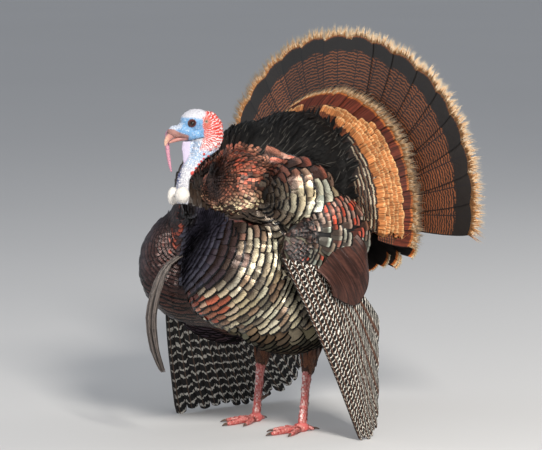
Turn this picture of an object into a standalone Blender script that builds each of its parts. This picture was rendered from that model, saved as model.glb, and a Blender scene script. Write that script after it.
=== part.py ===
"""A wild turkey gobbler in full strut, life size, as plain closed solids.

Metres, +Z up. The bird faces -Y, +X is its left, and it stands on Z = 0.
Each sub-part is one closed object; neighbours keep a hair's gap and never overlap.
"""

import math

import bmesh
import bpy
from mathutils import Matrix, Vector

# ---------------------------------------------------------------- driving sizes
GAP = 0.0004  # clearance between neighbouring solids

# Trunk: breast front to tail root is about half a metre when the plumage is raised.
TRUNK_VOXEL = 0.011
TRUNK_MASSES = (
    # centre, half sizes; those off the midline have a mirrored twin
    ((0.000, -0.055, 0.420), (0.175, 0.235, 0.215)),  # core
    ((0.075, -0.168, 0.375), (0.115, 0.150, 0.135)),  # breast lobe
    ((0.096, -0.045, 0.302), (0.105, 0.168, 0.122)),  # flank
    ((0.000, 0.060, 0.330), (0.130, 0.150, 0.130)),  # vent
    ((0.000, 0.030, 0.530), (0.155, 0.165, 0.180)),  # raised back
    ((0.000, -0.085, 0.590), (0.095, 0.100, 0.105)),  # mantle
    ((0.150, -0.075, 0.545), (0.060, 0.095, 0.080)),  # scapulars
)
RUFF_MASSES = (
    # the neck's turn opens the ruff on the left and closes it on the right
    ((0.066, -0.178, 0.572), (0.062, 0.072, 0.070)),
    ((-0.048, -0.148, 0.565), (0.056, 0.062, 0.066)),
)

# Head: side profile, forward (u) and up (w) from the eye, in the head's own plane.
EYE_AT = Vector((0.010, -0.262, 0.7005))  # middle of the head at the eyes
HEAD_YAW = math.radians(-30)  # turned to the bird's right
EYE_RADIUS = 0.0085
EYE_SPREAD = 0.0175  # eye centre off the head's middle plane
HEAD_MASSES = (
    # u, w, then half length, half width, half height
    ((-0.012, 0.004), (0.0355, 0.0245, 0.026)),  # brain case
    ((0.011, -0.018), (0.026, 0.0200, 0.0185)),  # face
    ((0.032, -0.020), (0.020, 0.0130, 0.015)),  # bill base
    ((-0.010, -0.026), (0.028, 0.0190, 0.016)),  # cheeks and jaw
    ((-0.034, 0.000), (0.030, 0.0230, 0.025)),  # back of the head
)
NECK_LINE = (
    # u, w, half depth, half width down the bare neck
    (-0.036, 0.002, 0.030, 0.0225),
    (-0.041, -0.026, 0.032, 0.0250),
    (-0.033, -0.052, 0.029, 0.0235),
    (-0.013, -0.080, 0.0205, 0.0200),
    (0.004, -0.103, 0.0180, 0.0185),
    (0.014, -0.128, 0.0175, 0.0190),
    (0.010, -0.165, 0.0240, 0.0240),
    (-0.020, -0.210, 0.0300, 0.0300),
)

# Bill, snood, throat and caruncles, in the head's own axes unless said.
UPPER_BILL = (
    # u, w, half height, half width
    (0.020, -0.0155, 0.0110, 0.0110),
    (0.034, -0.0215, 0.0095, 0.0090),
    (0.046, -0.0300, 0.0075, 0.0065),
    (0.0535, -0.0405, 0.0050, 0.0040),
    (0.0555, -0.0500, 0.0018, 0.0016),
)
LOWER_BILL = (
    (0.006, -0.0330, 0.0060, 0.0095),
    (0.022, -0.0350, 0.0055, 0.0080),
    (0.036, -0.0385, 0.0045, 0.0060),
    (0.0475, -0.0440, 0.0018, 0.0025),
)
SNOOD = (
    # u, lateral, w, radius: over the far side of the bill and down
    (0.038, 0.000, -0.0150, 0.0062),
    (0.045, -0.007, -0.0190, 0.0060),
    (0.049, -0.012, -0.0260, 0.0058),
    (0.0495, -0.013, -0.0450, 0.0055),
    (0.0480, -0.012, -0.0680, 0.0050),
    (0.0445, -0.011, -0.0920, 0.0040),
    (0.0405, -0.010, -0.1090, 0.0022),
)
THROAT = (
    # u, w, half depth, half width of the hanging fold
    (0.013, -0.0400, 0.0060, 0.0045),
    (0.009, -0.0560, 0.0120, 0.0040),
    (0.008, -0.0720, 0.0105, 0.0035),
    (0.012, -0.0880, 0.0050, 0.0030),
)
CARUNCLES = (
    # name, centre, half sizes, in the bird's own axes
    ("caruncle_left", (0.0260, -0.2985, 0.5460), (0.0180, 0.0170, 0.0185)),
    ("caruncle_right", (-0.0130, -0.2940, 0.5400), (0.0125, 0.0125, 0.0205)),
)
BEARD = (
    # centre, then half width and half thickness
    ((0.000, -0.270, 0.415), (0.0090, 0.0060)),
    ((0.000, -0.318, 0.392), (0.0110, 0.0070)),
    ((-0.002, -0.348, 0.340), (0.0150, 0.0080)),
    ((-0.004, -0.360, 0.280), (0.0160, 0.0085)),
    ((-0.004, -0.354, 0.222), (0.0140, 0.0075)),
    ((-0.002, -0.339, 0.175), (0.0075, 0.0045)),
    ((0.000, -0.331, 0.158), (0.0030, 0.0020)),
)

# Tail: eighteen feathers in a raised fan, twisted a little to the bird's left.
FAN_ROOT = Vector((0.0, 0.175, 0.470))
FAN_TWIST = math.radians(7)
FAN_LEAN = math.radians(2)
FAN_RADIUS = 0.428
FAN_HALF_SPREAD = math.radians(91)
FAN_FEATHERS = 18
FAN_THICK = 0.004
FAN_DISH = 0.018  # how far the tips stand behind the root's plane
OUTER_SHORTER = 0.055  # share by which the outermost feathers fall short
COVERT_PROFILE = (
    # depth ahead of the fan, radius: the raised rump flares out to the fan
    (0.150, 0.120),
    (0.120, 0.170),
    (0.085, 0.205),
    (0.050, 0.228),
    (0.022, 0.243),
    (0.004, 0.250),
)
COVERT_HALF_SPREAD = math.radians(99)
VENT_PROFILE = (
    # depth behind the fan, radius: the soft feathers under the tail
    (0.004, 0.150),
    (0.030, 0.145),
    (0.060, 0.122),
    (0.085, 0.082),
    (0.098, 0.036),
)
UNDERTAIL_REACH = (
    # angle from the fan's middle feather, radius
    (math.radians(93), 0.235),
    (math.radians(100), 0.247),
    (math.radians(110), 0.235),
    (math.radians(120), 0.208),
    (math.radians(132), 0.170),
    (math.radians(147), 0.133),
    (math.radians(178), 0.118),
)

# Wings: each drooped to the floor. Feather roots and tips are given for the first and
# last feather of a group; the right wing is spread wider than the left.
WING_THICK = 0.005
PRIMARIES = 10
SECONDARIES = 6
PRIMARY_BULGE = 0.012
SECONDARY_BULGE = 0.014
ARM_TRIANGLES = 260
WING_ARM = (
    # centre, half sizes, pitch about X
    ((0.218, -0.010, 0.452), (0.026, 0.090, 0.078), math.radians(-35)),
    ((0.208, -0.112, 0.421), (0.027, 0.060, 0.080), math.radians(22)),
    ((0.200, -0.020, 0.500), (0.030, 0.085, 0.050), math.radians(-10)),
)
LEFT_WING = {
    "primary_roots": ((0.222, -0.186, 0.420), (0.236, -0.090, 0.395), (0.238, -0.030, 0.380)),
    "primary_tips": ((0.240, 0.022, 0.0), (0.242, 0.060, 0.0), (0.246, 0.074, 0.060), (0.248, 0.076, 0.265)),
    "secondary_roots": ((0.236, -0.100, 0.385), (0.227, -0.043, 0.428), (0.218, 0.015, 0.470)),
    "secondary_tips": (
        (0.248, -0.066, 0.330), (0.250, -0.004, 0.302), (0.250, 0.034, 0.344), (0.244, 0.036, 0.412),
    ),
}
RIGHT_WING = {
    "primary_roots": ((0.226, -0.150, 0.400), (0.236, -0.060, 0.380), (0.240, -0.010, 0.370)),
    "primary_tips": ((0.255, -0.095, 0.0), (0.265, 0.030, 0.0), (0.256, 0.120, 0.0), (0.240, 0.185, 0.010)),
    "secondary_roots": ((0.236, -0.040, 0.420), (0.218, 0.030, 0.470)),
    "secondary_tips": (
        (0.250, 0.165, 0.022),
        (0.236, 0.255, 0.030),
        (0.222, 0.258, 0.140),
        (0.208, 0.165, 0.360),
    ),
}

# Legs
THIGH = (
    # centre, radius
    ((0.078, 0.020, 0.270), 0.060),
    ((0.079, 0.022, 0.220), 0.048),
    ((0.080, 0.018, 0.175), 0.025),
    ((0.080, 0.012, 0.124), 0.0135),
)
SHANK = (
    # centre, then half width and half depth
    ((0.080, 0.013, 0.145), (0.0100, 0.0110)),
    ((0.080, 0.012, 0.130), (0.0105, 0.0120)),
    ((0.080, 0.008, 0.108), (0.0080, 0.0095)),
    ((0.080, 0.002, 0.060), (0.0072, 0.0088)),
    ((0.080, -0.002, 0.026), (0.0085, 0.0100)),
    ((0.080, -0.004, 0.012), (0.0100, 0.0110)),
)
FOOT_AT = (0.080, -0.004, 0.009)
TOE_ARCH = (
    # height of the toe's middle and share of its root radius, root to tip
    (0.0105, 1.05),
    (0.0062, 0.95),
    (0.0072, 1.00),
    (0.0050, 0.85),
    (0.0042, 0.62),
)
TOES = (
    # name, angle from straight ahead (outwards), length, radius at the root
    ("inner", math.radians(-30), 0.066, 0.0070),
    ("middle", math.radians(-2), 0.088, 0.0075),
    ("outer", math.radians(28), 0.068, 0.0070),
    ("hind", math.radians(165), 0.030, 0.0055),
)
CLAW_LENGTH = 0.014
SPUR_LENGTH = 0.024


# ---------------------------------------------------------------- small helpers
def clear_scene():
    """Removes what the startup file holds."""
    for obj in list(bpy.data.objects):
        bpy.data.objects.remove(obj)


def finish(name, colour, roughness=0.6, metallic=0.0):
    """A Principled material in one colour."""
    made = bpy.data.materials.new(name)
    made.use_nodes = True
    shader = made.node_tree.nodes["Principled BSDF"]
    shader.inputs["Base Color"].default_value = (*colour, 1.0)
    shader.inputs["Roughness"].default_value = roughness
    shader.inputs["Metallic"].default_value = metallic
    made.diffuse_color = (*colour, 1.0)
    return made


def object_of(name, mesh_data, material=None):
    """Links a mesh datablock, or a bmesh, to the scene under one name."""
    if isinstance(mesh_data, bmesh.types.BMesh):
        shape = mesh_data
        mesh_data = bpy.data.meshes.new(name)
        bmesh.ops.recalc_face_normals(shape, faces=shape.faces)
        shape.to_mesh(mesh_data)
        shape.free()
    obj = bpy.data.objects.new(name, mesh_data)
    bpy.context.scene.collection.objects.link(obj)
    if material:
        obj.data.materials.append(material)
    return obj


def settle(obj):
    """Turns an object's modifiers into its own mesh."""
    graph = bpy.context.evaluated_depsgraph_get()
    mesh = bpy.data.meshes.new_from_object(obj.evaluated_get(graph))
    obj.modifiers.clear()
    obj.data = mesh
    return obj


def smooth(points, steps):
    """Points on a Catmull-Rom curve through rows of numbers, steps to each span."""
    rows = [Vector(row) for row in points]
    rows = [2 * rows[0] - rows[1], *rows, 2 * rows[-1] - rows[-2]]
    made = []
    for a, b, c, d in zip(rows, rows[1:], rows[2:], rows[3:]):
        for step in range(steps):
            t = step / steps
            bend = (2 * a - 5 * b + 4 * c - d) * t**2 + (3 * b - a - 3 * c + d) * t**3
            made.append(0.5 * (2 * b + (c - a) * t + bend))
    return [*made, rows[-2]]


def add_ellipsoid(shape, centre, half, turn=Matrix.Identity(4), detail=2):
    """Adds a closed ellipsoid to a bmesh."""
    placed = Matrix.Translation(centre) @ turn @ Matrix.Diagonal((*half, 1.0))
    bmesh.ops.create_icosphere(shape, subdivisions=detail, radius=1.0, matrix=placed)


def add_tube(shape, centres, halves, side, sides=10):
    """Adds a closed tube: half sizes are (along side, across it) at each centre."""
    rings = []
    for index, (centre, (wide, deep)) in enumerate(zip(centres, halves)):
        ahead = centres[min(index + 1, len(centres) - 1)]
        behind = centres[max(index - 1, 0)]
        along = (ahead - behind).normalized()
        across = (side - side.dot(along) * along).normalized()
        out = along.cross(across)
        ring = []
        for step in range(sides):
            angle = 2 * math.pi * step / sides
            reach = across * wide * math.cos(angle) + out * deep * math.sin(angle)
            ring.append(shape.verts.new(centre + reach))
        rings.append(ring)
    for near, far in zip(rings, rings[1:]):
        for step in range(sides):
            after = (step + 1) % sides
            shape.faces.new((near[step], near[after], far[after], far[step]))
    shape.faces.new(reversed(rings[0]))
    shape.faces.new(rings[-1])


def blended(name, shape, material, voxel, rounds, triangles):
    """Fuses overlapping closed shapes into one smooth body of about that many triangles."""
    obj = object_of(name, shape, material)
    fuse = obj.modifiers.new("Fuse", "REMESH")
    fuse.mode = "VOXEL"
    fuse.voxel_size = voxel
    soften = obj.modifiers.new("Soften", "SMOOTH")
    soften.factor = 0.5
    soften.iterations = rounds
    settle(obj)
    thin = obj.modifiers.new("Thin", "DECIMATE")
    thin.ratio = min(1.0, triangles / (2 * len(obj.data.polygons)))
    return settle(obj)


def grown(obj, by):
    """A hidden copy of a solid, swollen along its normals, used to cut its neighbours."""
    cutter = object_of(obj.name + "_cutter", obj.data.copy())
    for vertex, normal in zip(cutter.data.vertices, [v.normal.copy() for v in cutter.data.vertices]):
        vertex.co += normal * by
    cutter.hide_render = True
    cutter.display_type = "WIRE"
    return cutter


def biggest_piece(obj):
    """Keeps the piece of a mesh with the most surface; pieces that only touch along an edge are apart."""
    shape = bmesh.new()
    shape.from_mesh(obj.data)
    left, pieces = set(shape.faces), []
    while left:
        piece, rim = set(), [left.pop()]
        while rim:
            face = rim.pop()
            piece.add(face)
            for edge in face.edges:
                if len(edge.link_faces) == 2:
                    fresh = [other for other in edge.link_faces if other in left]
                    left.difference_update(fresh)
                    rim.extend(fresh)
        pieces.append(piece)
    keep = max(pieces, key=lambda piece: sum(face.calc_area() for face in piece))
    bmesh.ops.delete(shape, geom=[face for face in shape.faces if face not in keep], context="FACES")
    shape.to_mesh(obj.data)
    shape.free()


def trim(obj, *neighbours, gap=GAP):
    """Cuts a solid back from its neighbours, leaving a hair's gap."""
    for neighbour in neighbours:
        cutter = grown(neighbour, gap)
        cut = obj.modifiers.new("Trim", "BOOLEAN")
        cut.operation = "DIFFERENCE"
        cut.object = cutter
        settle(obj)
        bpy.data.objects.remove(cutter)
    biggest_piece(obj)
    return obj


def stand_flat(obj, level=0.0):
    """Cuts a solid off level with the floor."""
    shape = bmesh.new()
    shape.from_mesh(obj.data)
    everything = [*shape.verts, *shape.edges, *shape.faces]
    cut = bmesh.ops.bisect_plane(
        shape, geom=everything, plane_co=(0, 0, level), plane_no=(0, 0, -1), clear_outer=True
    )
    rim = [item for item in cut["geom_cut"] if isinstance(item, bmesh.types.BMEdge)]
    if rim:
        bmesh.ops.holes_fill(shape, edges=rim, sides=0)
        bmesh.ops.triangulate(shape, faces=[f for f in shape.faces if len(f.verts) > 4])
    shape.to_mesh(obj.data)
    shape.free()
    return obj


def sheet(name, rows, thick, material):
    """A closed plate about a grid of points."""
    shape = bmesh.new()
    grid = [[shape.verts.new(point) for point in row] for row in rows]
    for near, far in zip(grid, grid[1:]):
        for index in range(len(near) - 1):
            shape.faces.new((near[index], near[index + 1], far[index + 1], far[index]))
    obj = object_of(name, shape, material)
    wall = obj.modifiers.new("Wall", "SOLIDIFY")
    wall.thickness = thick
    wall.offset = 0.0
    return settle(obj)


def mirrored(point, side):
    """The point itself on the left (side 1), its mirror image on the right (side -1)."""
    return Vector((point[0] * side, point[1], point[2]))


SIDES = (("left", 1), ("right", -1))


# ---------------------------------------------------------------- trunk
def make_trunk(material):
    """Breast lobes, flanks, raised back, ruff and scapulars fused into one body."""
    shape = bmesh.new()
    for centre, half in TRUNK_MASSES:
        for side in (1, -1) if centre[0] else (1,):
            add_ellipsoid(shape, mirrored(centre, side), half, detail=3)
    for centre, half in RUFF_MASSES:
        add_ellipsoid(shape, centre, half, detail=3)
    return blended("trunk", shape, material, TRUNK_VOXEL, rounds=3, triangles=1050)


# ---------------------------------------------------------------- head and neck
def head_frame():
    """Places the head's own axes: +X forward (u), +Y to its left, +Z up (w)."""
    facing = Matrix.Rotation(HEAD_YAW, 4, "Z") @ Matrix.Rotation(-math.pi / 2, 4, "Z")
    return Matrix.Translation(EYE_AT) @ facing


def make_head(material):
    """The skull's flesh without bill, eyes or snood."""
    frame = head_frame()
    shape = bmesh.new()
    for (u, w), (length, width, height) in HEAD_MASSES:
        add_ellipsoid(shape, (u, 0, w), (length, width, height), detail=3)
    bmesh.ops.transform(shape, matrix=frame, verts=shape.verts)
    return blended("head", shape, material, 0.003, rounds=4, triangles=600)


def make_neck(material):
    """The bare neck, from the back of the head down into the ruff."""
    frame = head_frame()
    shape = bmesh.new()
    line = smooth(NECK_LINE, 3)
    centres = [frame @ Vector((row[0], 0, row[1])) for row in [tuple(r) for r in line]]
    side = frame.to_3x3() @ Vector((0, 1, 0))
    add_tube(shape, centres, [(row[3], row[2]) for row in [tuple(r) for r in line]], side, sides=16)
    return blended("neck", shape, material, 0.004, rounds=2, triangles=400)


# ---------------------------------------------------------------- tail
def fan_frame():
    """The fan's axes: +Z up its middle feather, +X to the bird's left, +Y behind it."""
    return (
        Matrix.Translation(FAN_ROOT)
        @ Matrix.Rotation(FAN_TWIST, 4, "Z")
        @ Matrix.Rotation(-FAN_LEAN, 4, "X")
    )


def fan_edge(angle):
    """Radius of the fan's scalloped rim at an angle from its middle."""
    pitch = 2 * FAN_HALF_SPREAD / FAN_FEATHERS
    place = (angle + FAN_HALF_SPREAD) / pitch
    off = min(1.0, 1.5 * abs(place - math.floor(place) - 0.5) * 2)
    taper = OUTER_SHORTER * abs(angle / FAN_HALF_SPREAD) ** 3
    return FAN_RADIUS * (1 - taper) * (1 - 0.035 * off**2.5)


def make_fan(material):
    """The spread tail as one thin scalloped plate."""
    frame = fan_frame()
    columns = FAN_FEATHERS * 3
    radii = (0.10, 0.45, 0.80, 1.0)
    rows = []
    for share in radii:
        row = []
        for column in range(columns + 1):
            angle = FAN_HALF_SPREAD * (2 * column / columns - 1)
            reach = share * fan_edge(angle)
            place = Vector((reach * math.sin(angle), FAN_DISH * share**2, reach * math.cos(angle)))
            row.append(frame @ place)
        rows.append(row)
    return sheet("tail_fan", rows, FAN_THICK, material)


def lathe_about_fan(shape, profile, half_spread, stretch_up=1.0, steps=18):
    """Adds a closed body turned about the fan's own axis, through part of a circle."""
    frame = fan_frame()
    full = half_spread >= math.pi - 1e-6
    rings = []
    for depth, radius in profile:
        ring = []
        for step in range(steps + (0 if full else 1)):
            angle = half_spread * (2 * step / steps - 1)
            reach = radius * (1 + (stretch_up - 1) * max(0.0, math.cos(angle)) ** 2)
            dish = FAN_DISH * (reach / FAN_RADIUS) ** 2
            place = Vector((reach * math.sin(angle), dish + depth, reach * math.cos(angle)))
            ring.append(shape.verts.new(frame @ place))
        rings.append(ring)
    hubs = [shape.verts.new(frame @ Vector((0, depth, 0))) for depth in (profile[0][0], profile[-1][0])]
    count = len(rings[0])
    spans = range(count if full else count - 1)
    for near, far in zip(rings, rings[1:]):
        for step in spans:
            after = (step + 1) % count
            shape.faces.new((near[step], near[after], far[after], far[step]))
    for ring, hub in ((rings[0], hubs[0]), (rings[-1], hubs[1])):
        for step in spans:
            shape.faces.new((ring[step], ring[(step + 1) % count], hub))
    if not full:
        for end in (0, -1):
            shape.faces.new([hubs[0], *[ring[end] for ring in rings], hubs[1]])


def make_coverts(material):
    """The rump and upper tail coverts: a flared cone that leans on the fan's front."""
    shape = bmesh.new()
    profile = [(-depth - FAN_THICK, radius) for depth, radius in COVERT_PROFILE]
    lathe_about_fan(shape, profile, COVERT_HALF_SPREAD, stretch_up=1.14)
    return object_of("tail_coverts", shape, material)


def make_vent(material):
    """The soft vent feathers that back the fan's root."""
    shape = bmesh.new()
    profile = [(depth + FAN_THICK, radius) for depth, radius in VENT_PROFILE]
    lathe_about_fan(shape, profile, math.pi)
    return object_of("vent_feathers", shape, material)


def make_undertail(which, side, material):
    """One side's long under-tail coverts, spread below the fan's lowest feather."""
    frame = fan_frame()
    edge = [(point.x, point.y) for point in smooth([(*pair, 0) for pair in UNDERTAIL_REACH], 2)]
    rows = []
    for share in (0.20, 0.60, 1.0):
        depth = 0.006 + 0.012 * math.sin(math.pi * share)
        row = []
        for angle, reach in edge:
            across, up = side * share * reach * math.sin(angle), share * reach * math.cos(angle)
            row.append(frame @ Vector((across, -depth, up)))
        rows.append(row)
    return sheet(f"undertail_{which}", rows, 0.012, material)


# ---------------------------------------------------------------- wings
def along_line(points, share):
    """The point at a share of the way along a smooth line through points."""
    line = smooth(points, 8)
    place = share * (len(line) - 1)
    index = min(int(place), len(line) - 2)
    return line[index].lerp(line[index + 1], place - index)


def feather_plate(name, roots, tips, side, material, feathers, bulge):
    """A closed plate of overlapping flight feathers, notched between their tips."""
    columns = feathers * 2
    rows = []
    for share in (0.0, 0.3, 0.65, 0.93, 1.0):
        row = []
        for column in range(columns + 1):
            across = column / columns
            root = along_line(roots, across)
            tip = along_line(tips, across)
            notch = 0.03 if column % 2 == 0 and 0 < column < columns and share > 0.9 else 0.0
            reach = share * (1 - notch)
            point = root.lerp(tip, reach)
            point.x += bulge * math.sin(math.pi * share)
            row.append(mirrored(point, side))
        rows.append(row)
    return sheet(name, rows, WING_THICK, material)


def make_wing(which, side, sizes, material):
    """Arm with its coverts, the flight feathers of the forearm, and those of the hand."""
    shape = bmesh.new()
    for centre, half, pitch in WING_ARM:
        add_ellipsoid(shape, mirrored(centre, side), half, Matrix.Rotation(pitch, 4, "X"), detail=3)
    arm = blended(f"wing_{which}_arm", shape, material, 0.006, rounds=3, triangles=ARM_TRIANGLES)
    primaries, secondaries = [
        feather_plate(f"wing_{which}_{group}", sizes[roots], sizes[tips], side, material, feathers, bulge)
        for group, roots, tips, feathers, bulge in (
            ("primaries", "primary_roots", "primary_tips", PRIMARIES, PRIMARY_BULGE),
            ("secondaries", "secondary_roots", "secondary_tips", SECONDARIES, SECONDARY_BULGE),
        )
    ]
    for vertex in secondaries.data.vertices:
        vertex.co.x += side * (WING_THICK + 2 * GAP)
    return arm, primaries, secondaries


# ---------------------------------------------------------------- head furniture
def head_line(rows):
    """Centres and half sizes of a tube given in the head's axes as (u, w, deep, wide)."""
    frame = head_frame()
    line = [tuple(row) for row in smooth(rows, 2)]
    return [frame @ Vector((u, 0, w)) for u, w, _, _ in line], [(wide, deep) for _, _, deep, wide in line]


def head_side():
    """The direction to the head's own left."""
    return head_frame().to_3x3() @ Vector((0, 1, 0))


def head_tube(name, rows, material, sides=10):
    """A closed tapering horn or fold in the head's middle plane."""
    shape = bmesh.new()
    centres, halves = head_line(rows)
    add_tube(shape, centres, halves, head_side(), sides)
    return object_of(name, shape, material)


def make_snood(material):
    """The fleshy finger that grows over the bill and hangs on its far side."""
    frame = head_frame()
    line = [tuple(row) for row in smooth(SNOOD, 2)]
    shape = bmesh.new()
    centres = [frame @ Vector((u, across, w)) for u, across, w, _ in line]
    add_tube(shape, centres, [(radius, radius) for _, _, _, radius in line], head_side(), sides=8)
    return object_of("snood", shape, material)


def make_eye(which, side, material):
    """One eyeball, set in the side of the face."""
    shape = bmesh.new()
    place = Matrix.Translation(head_frame() @ Vector((0, side * EYE_SPREAD, 0)))
    bmesh.ops.create_uvsphere(shape, u_segments=10, v_segments=7, radius=EYE_RADIUS, matrix=place)
    return object_of(f"eye_{which}", shape, material)


def make_caruncle(name, centre, half, material):
    """One swollen lobe at the foot of the neck."""
    shape = bmesh.new()
    add_ellipsoid(shape, centre, half, detail=2)
    return object_of(name, shape, material)


def make_beard(material):
    """The bristly tassel that grows from the middle of the breast."""
    shape = bmesh.new()
    line = smooth([(*centre, *half) for centre, half in BEARD], 2)
    rows = [tuple(row) for row in line]
    add_tube(shape, [Vector(row[:3]) for row in rows], [row[3:] for row in rows], Vector((1, 0, 0)), sides=8)
    return object_of("beard", shape, material)


# ---------------------------------------------------------------- legs
def make_thigh(which, side, material):
    """The feathered drumstick from the flank down to the hock."""
    shape = bmesh.new()
    centres = [mirrored(centre, side) for centre, _ in THIGH]
    add_tube(shape, centres, [(r, r * 1.15) for _, r in THIGH], Vector((1, 0, 0)), sides=14)
    return object_of(f"thigh_{which}", shape, material)


def make_shank(which, side, material):
    """The bare scaly tarsus from the hock to the toes."""
    shape = bmesh.new()
    centres = [mirrored(centre, side) for centre, _ in SHANK]
    add_tube(shape, centres, [half for _, half in SHANK], Vector((1, 0, 0)), sides=10)
    return object_of(f"shank_{which}", shape, material)


def toe_line(side, angle, length):
    """Centre points of one toe, root to tip, arched over the floor, and the way it points."""
    ahead = Vector((side * math.sin(angle), -math.cos(angle), 0))
    root = mirrored((FOOT_AT[0], FOOT_AT[1], 0), side)
    pitch = length / (len(TOE_ARCH) - 1)
    line = [root + ahead * pitch * step + Vector((0, 0, rise)) for step, (rise, _) in enumerate(TOE_ARCH)]
    return line, ahead


def make_foot(which, side, material):
    """Four toes on flat pads, fused at the ball of the foot."""
    shape = bmesh.new()
    add_ellipsoid(shape, mirrored(FOOT_AT, side), (0.014, 0.017, 0.013), detail=3)
    for _, angle, length, radius in TOES:
        line, ahead = toe_line(side, angle, length)
        halves = [(radius * share, radius * share) for _, share in TOE_ARCH]
        add_tube(shape, line, halves, ahead.cross(Vector((0, 0, 1))), sides=10)
    foot = blended(f"foot_{which}", shape, material, 0.0022, rounds=2, triangles=330)
    return stand_flat(foot, 0.0)


def make_claw(which, side, toe, angle, length, material):
    """One curved claw at a toe's tip."""
    line, ahead = toe_line(side, angle, length)
    tip = line[-1]
    shape = bmesh.new()
    rows = [tip + ahead * (CLAW_LENGTH * share) + Vector((0, 0, rise)) for share, rise in
            ((-0.2, 0.0008), (0.35, 0.0012), (0.75, -0.0005), (1.0, -0.0026))]
    halves = [(r, r) for r in (0.0034, 0.0030, 0.0019, 0.0007)]
    add_tube(shape, rows, halves, ahead.cross(Vector((0, 0, 1))), sides=6)
    return object_of(f"claw_{which}_{toe}", shape, material)


def make_spur(which, side, material):
    """The curved spur on the back of the shank."""
    shape = bmesh.new()
    root = mirrored((0.078, 0.004, 0.052), side)
    aim = Vector((-0.35 * side, 0.92, 0.10)).normalized()
    rows = [root + aim * (SPUR_LENGTH * share) + Vector((0, 0, rise)) for share, rise in
            ((0.0, 0.0), (0.35, 0.0005), (0.7, 0.0025), (1.0, 0.0060))]
    add_tube(shape, rows, [(r, r) for r in (0.0062, 0.0050, 0.0032, 0.0009)], Vector((0, 0, 1)), sides=8)
    return object_of(f"spur_{which}", shape, material)


def make_leg(which, side, feathers, scales, horn, trunk):
    """Drumstick, shank, foot, claws and spur of one side."""
    thigh = trim(make_thigh(which, side, feathers), trunk)
    shank = trim(make_shank(which, side, scales), thigh)
    foot = trim(make_foot(which, side, scales), shank)
    for toe, angle, length, _ in TOES:
        stand_flat(trim(make_claw(which, side, toe, angle, length, horn), foot), GAP)
    trim(make_spur(which, side, horn), shank)


def stand_at_origin(objects):
    """Hangs every object on one empty that puts the middle of their box's base at the origin."""
    corners = [vertex.co for obj in objects for vertex in obj.data.vertices]
    lows, highs = [[pick(corner[axis] for corner in corners) for axis in range(3)] for pick in (min, max)]
    turkey = bpy.data.objects.new("turkey", None)
    bpy.context.scene.collection.objects.link(turkey)
    turkey.location = (-(lows[0] + highs[0]) / 2, -(lows[1] + highs[1]) / 2, -lows[2])
    for obj in objects:
        obj.parent = turkey
        obj.data.shade_smooth()
        obj.data.set_sharp_from_angle(angle=math.radians(40))


def main():
    """Builds every sub-part, each cut back from those before it."""
    clear_scene()
    bronze = finish("bronze_plumage", (0.09, 0.05, 0.03), 0.35, 0.4)
    skin = finish("bare_skin", (0.45, 0.55, 0.75), 0.5)
    white = finish("caruncle_skin", (0.85, 0.82, 0.78), 0.45)
    red = finish("snood_skin", (0.80, 0.45, 0.45), 0.45)
    horn = finish("bill_horn", (0.60, 0.42, 0.30), 0.4)
    dark_horn = finish("claw_horn", (0.10, 0.07, 0.06), 0.4)
    glass = finish("eye_surface", (0.05, 0.02, 0.01), 0.08)
    scales = finish("leg_scales", (0.75, 0.35, 0.35), 0.45)
    tail = finish("tail_feathers", (0.25, 0.10, 0.05), 0.6)
    barred = finish("barred_feathers", (0.35, 0.31, 0.28), 0.6)
    bristle = finish("beard_bristle", (0.12, 0.11, 0.10), 0.6)

    fan = make_fan(tail)
    trunk = trim(make_trunk(bronze), fan)
    coverts = trim(make_coverts(tail), fan, trunk)
    vent = trim(make_vent(tail), fan, trunk)
    solids = (fan, trunk, coverts, vent)
    undertail = [trim(make_undertail(which, side, tail), *solids) for which, side in SIDES]
    rear = (fan, coverts, vent, *undertail)

    eyes = [make_eye(which, side, glass) for which, side in SIDES]
    upper = head_tube("bill_upper", UPPER_BILL, horn)
    lower = head_tube("bill_lower", LOWER_BILL, horn)
    head = trim(make_head(skin), upper, lower, *eyes)
    trim(lower, upper)
    neck = trim(make_neck(skin), trunk, head)
    trim(make_snood(red), head, upper, lower, gap=2 * GAP)
    trim(head_tube("throat", THROAT, skin), head, neck, lower, gap=2 * GAP)
    near, far = [make_caruncle(name, centre, half, white) for name, centre, half in CARUNCLES]
    trim(near, trunk, neck)
    trim(far, trunk, neck, near)
    trim(make_beard(bristle), trunk)

    for (which, side), sizes in zip(SIDES, (LEFT_WING, RIGHT_WING)):
        arm, primaries, secondaries = make_wing(which, side, sizes, barred)
        trim(arm, trunk, *rear)
        trim(secondaries, arm, trunk, *rear)
        trim(primaries, arm, secondaries, trunk)
        stand_flat(primaries)
        make_leg(which, side, bronze, scales, dark_horn, trunk)

    stand_at_origin([obj for obj in bpy.data.objects if obj.type == "MESH"])


main()
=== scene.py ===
"""A wild turkey gobbler in full strut, life size: skin, plumage, bare head and scaled legs.

Metres, +Z up. The bird faces -Y and +X is its left; everything stands on Z = 0.
"""

import logging
import math
from contextlib import contextmanager
from dataclasses import dataclass, replace
from enum import Enum
from typing import Any, Callable, Iterator, Optional, Sequence, Union

import bpy
import numpy as np
from mathutils import Matrix, Vector, noise
from mathutils.bvhtree import BVHTree


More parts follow.
